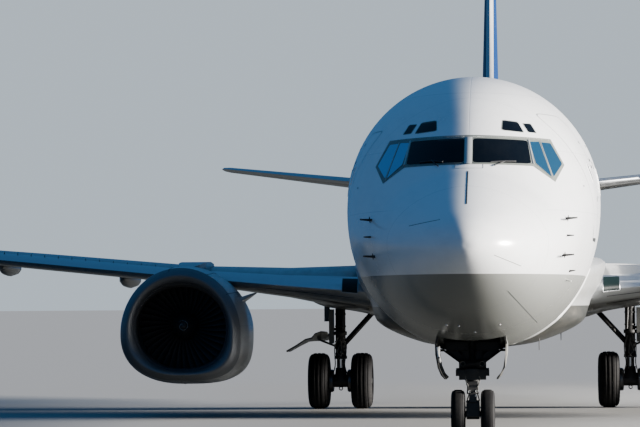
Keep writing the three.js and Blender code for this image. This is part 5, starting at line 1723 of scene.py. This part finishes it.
# A wheel's section, dished outwards, with a ring of bolts. sign is the side that its outer face looks to.
def wheelPart(look, x, sign):
    rim, half = look["rim"], look["width"] / 2
    profile = np.array(wheel["rows"]) * [half * sign, rim]
    parts = [turnedPart(profile, (x, look["y"], look["z"]), 56)]
    bolts = wheel["bolts"]
    for angle in circle(bolts["count"]):
        y = look["y"] + bolts["circle"] * rim * math.sin(angle)
        z = look["z"] + bolts["circle"] * rim * math.cos(angle)
        path = [[x + sign * half * share, y, z] for share in bolts["along"]]
        parts.append(tubePart(path, bolts["radius"] * rim, 6))
    return joined(parts)


# The tyre and the rim of one wheel, on the body that turns with it
def makeWheel(look, x, sign, place, body):
    addPiece(place.replace("PART", "tyre") + "_tread", tyrePart(look, x), "rubber", body,
             (place.replace("PART", "tyre"),), sharp=40)
    addPiece(place.replace("PART", "rim"), wheelPart(look, x, sign), "wheel", body)


def makeGear():
    look = gear["nose"]
    for side, sign in sides():
        makeWheel(look, sign * look["spacing"] / 2, sign, f"nose_PART_{side}", "nose_wheels")
    look = gear["main"]
    for side, sign in sides():
        for place, step in (("inner", -1), ("outer", 1)):
            x = sign * (look["x"] + step * look["spacing"] / 2)
            makeWheel(look, x, sign * step, f"main_PART_{place}_{side}", f"main_wheels_{side}")
        for name in ("main_leg", "main_carrier", "main_wheelset", "main_brace"):
            smoothCopy(f"{name}_{side}", "gear", 40)
        smoothCopy(f"main_door_{side}", "door", 30)
        door = smoothCopy(f"nose_door_{side}", "door", 30)
        darkInside(door, (sign, 0, 0), 0.5)
    for name in ("nose_leg", "nose_fork", "nose_wheelset"):
        smoothCopy(name, "gear", 40)


makeGear()


# A square-edged beam between two points: a rectangle swept along the line.
def beamPart(start, end, wide, deep):
    start, end = np.asarray(start, float), np.asarray(end, float)
    ahead = (end - start) / np.linalg.norm(end - start)
    side = np.cross(ahead, [0, 1.0, 0])
    side /= np.linalg.norm(side)
    other = np.cross(side, ahead)
    corners = np.array([[-1, -0.8], [-0.8, -1], [0.8, -1], [1, -0.8],
                        [1, 0.8], [0.8, 1], [-0.8, 1], [-1, 0.8]])
    ring = corners[:, :1] * side * wide / 2 + corners[:, 1:] * other * deep / 2
    path = start + np.linspace(0, 1, 6)[:, None] * (end - start)
    return cappedPart(path[:, None] + ring)


# A slab seen from ahead: an outline across and up, with rounded front and back edges, at one y.
def slabPart(outline, y, thick):
    outline = np.asarray(outline, float)
    rings = []
    for shrink, level in ((0.006, -0.5), (0, -0.35), (0, 0.35), (0.006, 0.5)):
        flat = spreadOutline(outline, -shrink)
        rings.append(np.column_stack([flat[:, 0], np.full(len(flat), y + level * thick), flat[:, 1]]))
    return cappedPart(np.stack(rings))


noseStrut = {
    # beams between the bay's sides and down to the leg: both ends, width, depth
    "beams": [[(-0.37, -12.75, 1.29), (0.37, -12.75, 1.29), 0.13, 0.1],
              [(-0.34, -12.72, 1.27), (-0.15, -12.72, 1.11), 0.1, 0.1],
              [(0.34, -12.72, 1.27), (0.15, -12.72, 1.11), 0.1, 0.1],
              [(0, -12.74, 1.32), (0, -12.74, 1.08), 0.3, 0.1]],
    # across, up: the dark panel between the doors, a black sheet put in as painted shade in the bay, and
    # where it lies
    "panel": {"outline": [(-0.468, 1.262), (-0.455, 1.44), (0.455, 1.44), (0.468, 1.262), (0.32, 1.225),
                          (0.2, 1.14), (0.17, 1.07), (-0.17, 1.07), (-0.2, 1.14), (-0.32, 1.225)],
              "y": -12.7, "thick": 0.024},
    # scissor arms ahead of the piston and the block between the tyres: across, up from, up to, ahead, behind
    "links": [[0.085, 0.62, 0.8, -12.81, -12.74], [0.055, 0.5, 0.64, -12.83, -12.77],
              [0.1, 0.3, 0.53, -12.8, -12.62]],
    # shackles and lamps: across and up, with the y of their faces
    "shackles": {"places": [(-0.05, 0.655), (0.055, 0.66), (0.045, 0.6)], "y": -12.84, "radius": 0.018},
    "lamps": {"places": [(-0.135, 1.042), (0.135, 1.042)], "y": -12.85, "radius": 0.042},
    # the steering boxes, as beams
    "boxes": [[(0, -12.86, 0.972), (0, -12.86, 0.9), 0.18, 0.07],
              [(0, -12.83, 0.958), (0, -12.83, 0.872), 0.47, 0.05],
              [(0, -12.82, 0.875), (0, -12.82, 0.818), 0.38, 0.05],
              [(-0.2, -12.8, 0.975), (-0.2, -12.8, 0.9), 0.06, 0.08],
              [(0.2, -12.8, 0.975), (0.2, -12.8, 0.9), 0.06, 0.08]],
    # low, high, radius
    "piston": [0.5, 0.732, 0.0535],
    "hoses": [[(-0.06, -12.8, 0.98), (-0.1, -12.84, 0.85), (-0.05, -12.78, 0.66), (-0.09, -12.72, 0.5)],
              [(0.05, -12.8, 0.98), (0.1, -12.85, 0.82), (0.06, -12.78, 0.68), (0.09, -12.7, 0.52)]],
    "hoseRadius": 0.009,
    # height and radius
    "clamps": [(0.66, 0.064), (0.715, 0.074)],
    "clampHeight": 0.02,
    # the light plate on the right door's front edge, across and up, with a dark hole in it
    "plate": {"outline": [(0.424, 1.3), (0.476, 1.29), (0.462, 1.16), (0.425, 1.07), (0.41, 1.1),
                          (0.43, 1.18)],
              "y": -13.757, "thick": 0.012, "hole": (0.438, 1.145, 0.014)},
}


def uprightTube(x, y, low, high, radius, around=24):
    return tubePart([[x, y, low], [x, y, (low + high) / 2], [x, y, high]], radius, around)


# Rings clamped round a leg's axis
def clampParts(look, x, y):
    return [uprightTube(x, y, z, z + look["clampHeight"], radius) for z, radius in look["clamps"]]


# A lamp that looks ahead has a rim and a lens that bulges a little. The rows give distance ahead of its face
# and radius, as a share of the lamp's; both end at a small round face in the middle.
lampRows = {
    "rim": [[-0.05, 0.9], [0.02, 1], [0.026, 0.96], [0.02, 0.84]],
    "lens": [[0.002, 0.84], [0.012, 0.7], [0.018, 0.4]],
    "middle": {"rim": [0, 0.002], "lens": [0.02, 0.002]},
}


def lampPart(kind, x, y, z, radius, around=28):
    rows = [[ahead, share * radius] for ahead, share in lampRows[kind]]
    return turnedAhead([*rows, lampRows["middle"][kind]], x, y, z, around)


def makeNoseStrut():
    look = noseStrut
    panel = look["panel"]
    brace = [beamPart(*row) for row in look["beams"]]
    # the black panel is painted shade in the nose bay
    brace.append(slabPart(panel["outline"], panel["y"], panel["thick"]))
    addPiece("nose_brace", joined(brace), "black")
    arms = []
    for half, low, high, ahead, behind in look["links"]:
        outline = [(-half, low), (-half * 0.9, high), (half * 0.9, high), (half, low)]
        arms.append(slabPart(outline, (ahead + behind) / 2, behind - ahead))
    addPiece("nose_links", joined(arms), "gear", "nose_steering")
    row = look["shackles"]
    spots = [lampPart("rim", x, row["y"], z, row["radius"], 16) for x, z in row["places"]]
    addPiece("nose_shackles", joined(spots), "white", "nose_steering")
    addPiece("nose_boxes", joined([beamPart(*row) for row in look["boxes"]]), "gear")
    row = look["lamps"]
    rims, lenses = ([lampPart(kind, x, row["y"], z, row["radius"]) for x, z in row["places"]]
                    for kind in ("rim", "lens"))
    addPiece("taxi_lamp_rims", joined(rims), "hose")
    addPiece("taxi_lamp_lenses", joined(lenses), "lampGlass")
    x, y = gear["nose"]["x"], gear["nose"]["y"]
    piston = uprightTube(x, y, *look["piston"])
    addPiece("nose_piston", piston, "chrome", "nose_steering")
    addPiece("nose_clamps", joined(clampParts(look, x, y)), "wheel", "nose_steering")
    hoses = [tubePart(softPath(points, 24), look["hoseRadius"], 8) for points in look["hoses"]]
    addPiece("nose_hoses", joined(hoses), "hose")
    plate = look["plate"]
    flap = mirroredPart(slabPart(plate["outline"], plate["y"], plate["thick"]))
    addPiece("nose_door_plate", flap, "white")
    x, z, radius = plate["hole"]
    hole = lampPart("rim", -x, plate["y"], z, radius, 14)
    addPiece("nose_door_hole", hole, "black")
    print("nose strut done")


makeNoseStrut()

mainStrut = {
    # low, high, radius
    "piston": [0.735, 0.9, 0.0725],
    # the drum's outer face lies a gap short of a place inside the tyre, a share of its width from its middle
    "brake": {"radius": 0.205, "hub": 0.1, "wide": 0.1, "gap": 0.006, "inside": 0.41,
              "chamfer": (0.02, 0.92)},
    # x from the leg's axis, y, z
    "hoses": [[(-0.05, -0.36, 1.3), (-0.11, -0.4, 1.05), (-0.08, -0.38, 0.8), (-0.13, -0.36, 0.62),
               (-0.17, -0.32, 0.54)],
              [(0.04, -0.36, 1.3), (0.1, -0.41, 1.08), (0.09, -0.39, 0.82), (0.13, -0.36, 0.64),
               (0.17, -0.32, 0.54)],
              [(0.0, -0.35, 1.25), (-0.03, -0.4, 1.0), (0.05, -0.4, 0.86), (0.02, -0.36, 0.72)],
              [(-0.02, -0.35, 1.22), (0.05, -0.38, 1.02), (-0.06, -0.41, 0.88), (-0.03, -0.37, 0.7)]],
    "hoseRadius": 0.01,
    # height and radius
    "clamps": [(0.98, 0.102), (1.2, 0.102), (1.48, 0.102), (1.7, 0.1)],
    "clampHeight": 0.025,
    "actuator": {"ends": [(-0.05, -0.37, 1.85), (-0.06, -0.36, 1.42)],
                 "thick": [0.03, 0.03, 0.03, 0.018, 0.018]},
    "ring": {"z": 0.365, "radius": 0.03, "wire": 0.009},
}


# The two brake drums between a leg's tyres: a low chamfered disc on each side of its axis.
def brakeParts(axle):
    brake = mainStrut["brake"]
    radius, hub = brake["radius"], brake["hub"]
    depth, share = brake["chamfer"]
    drums = []
    for sign in (-1, 1):
        edge = sign * (axle["spacing"] / 2 - axle["width"] * brake["inside"] - brake["gap"])
        back = edge - sign * brake["wide"]
        profile = [[back, hub], [back, radius * share], [back + sign * depth, radius], [edge, radius],
                   [edge, hub]]
        drums.append(turnedPart(profile, (axle["x"], axle["y"], axle["z"]), 40))
    return drums


# The ring under a leg: a round wire carried round an upright circle.
def ringPart(axle):
    ring = mainStrut["ring"]
    turn = circle(24)
    around = circle(8)[None, :, None]
    way = np.stack([np.sin(turn), 0 * turn, np.cos(turn)], -1)
    loop = np.array([axle["x"], axle["y"], ring["z"]]) + ring["radius"] * way
    wire = np.cos(around) * way[:, None] + np.sin(around) * np.array([0, 1.0, 0])
    return loopPart(loop[:, None] + ring["wire"] * wire)


def makeMainStrut():
    look, axle = mainStrut, gear["main"]
    x, y = axle["x"], axle["y"]
    addPair("main_piston", uprightTube(x, y, *look["piston"]), "chrome")
    shift = np.array([x, 0, 0])
    paths = [softPath(np.array(points) + shift, 30) for points in look["hoses"]]
    hoses = [tubePart(path, look["hoseRadius"], 8) for path in paths]
    addPair("main_hoses", joined(hoses), "hose")
    clamps = clampParts(look, x, y)
    start, end = (np.array(point) + shift for point in look["actuator"]["ends"])
    clamps.append(tubePart(np.linspace(start, end, 5), look["actuator"]["thick"], 14))
    addPair("main_clamps", joined(clamps), "gear")
    addPair("main_brakes", joined(brakeParts(axle)), "darkMetal")
    addPair("main_rings", ringPart(axle), "gear")
    print("main struts done")


makeMainStrut()
print("gear done")

# Plain pale floor and soft studio light. The bounce colours are what the aircraft is lit by and mirrors; the
# others are what the camera sees behind it.
stage = {
    "floor": rgb(0.34, 0.336, 0.325),
    "grain": rgb(0.32, 0.32, 0.32),
    "floorBounce": rgb(0.09, 0.09, 0.08),
    "floorRadius": 1600,
    "floorSides": 96,
    "backdrop": rgb(0.55, 0.64, 0.72),
    "skyBounce": rgb(0.034, 0.13, 0.3),
    "key": {"turn": (82, 0, 86), "strength": 25, "soft": 9, "colour": (1.0, 0.95, 0.88)},
}


# One colour where the camera sees the surface, and another in its reflections and the light it throws
def seenColour(tree, bounce, seen):
    return mixColour(tree, node(tree, "ShaderNodeLightPath").outputs["Is Camera Ray"], bounce, seen)


def makeFloor():
    count = stage["floorSides"]
    turn = circle(count)
    points = stage["floorRadius"] * np.stack([np.cos(turn), np.sin(turn), 0 * turn], -1)
    mesh = bpy.data.meshes.new("floor")
    mesh.from_pydata(points.tolist(), [], [list(range(count))])
    floor = newObject("floor", mesh)
    material, tree, shader = newMaterial("floorPaint")
    grain = noise(tree, objectPlace(tree), 2.0, 4)
    shade = mixColour(tree, calc(tree, "MULTIPLY", grain, 0.12), stage["floor"], stage["grain"])
    tree.links.new(seenColour(tree, stage["floorBounce"], shade), shader.inputs["Base Color"])
    setShader(shader, Roughness=0.7)
    mesh.materials.append(material)


def makeSky():
    world = bpy.context.scene.world or bpy.data.worlds.new("sky")
    bpy.context.scene.world = world
    world.use_nodes = True
    tree = world.node_tree
    colour = seenColour(tree, stage["skyBounce"], stage["backdrop"])
    tree.links.new(colour, tree.nodes["Background"].inputs[0])


def makeKeyLight():
    look = stage["key"]
    data = bpy.data.lights.new("key", "SUN")
    data.energy = look["strength"]
    data.angle = math.radians(look["soft"])
    data.color = look["colour"]
    lamp = newObject("key", data)
    lamp.rotation_euler = [math.radians(angle) for angle in look["turn"]]


makeFloor()
makeSky()
makeKeyLight()
print("stage done")
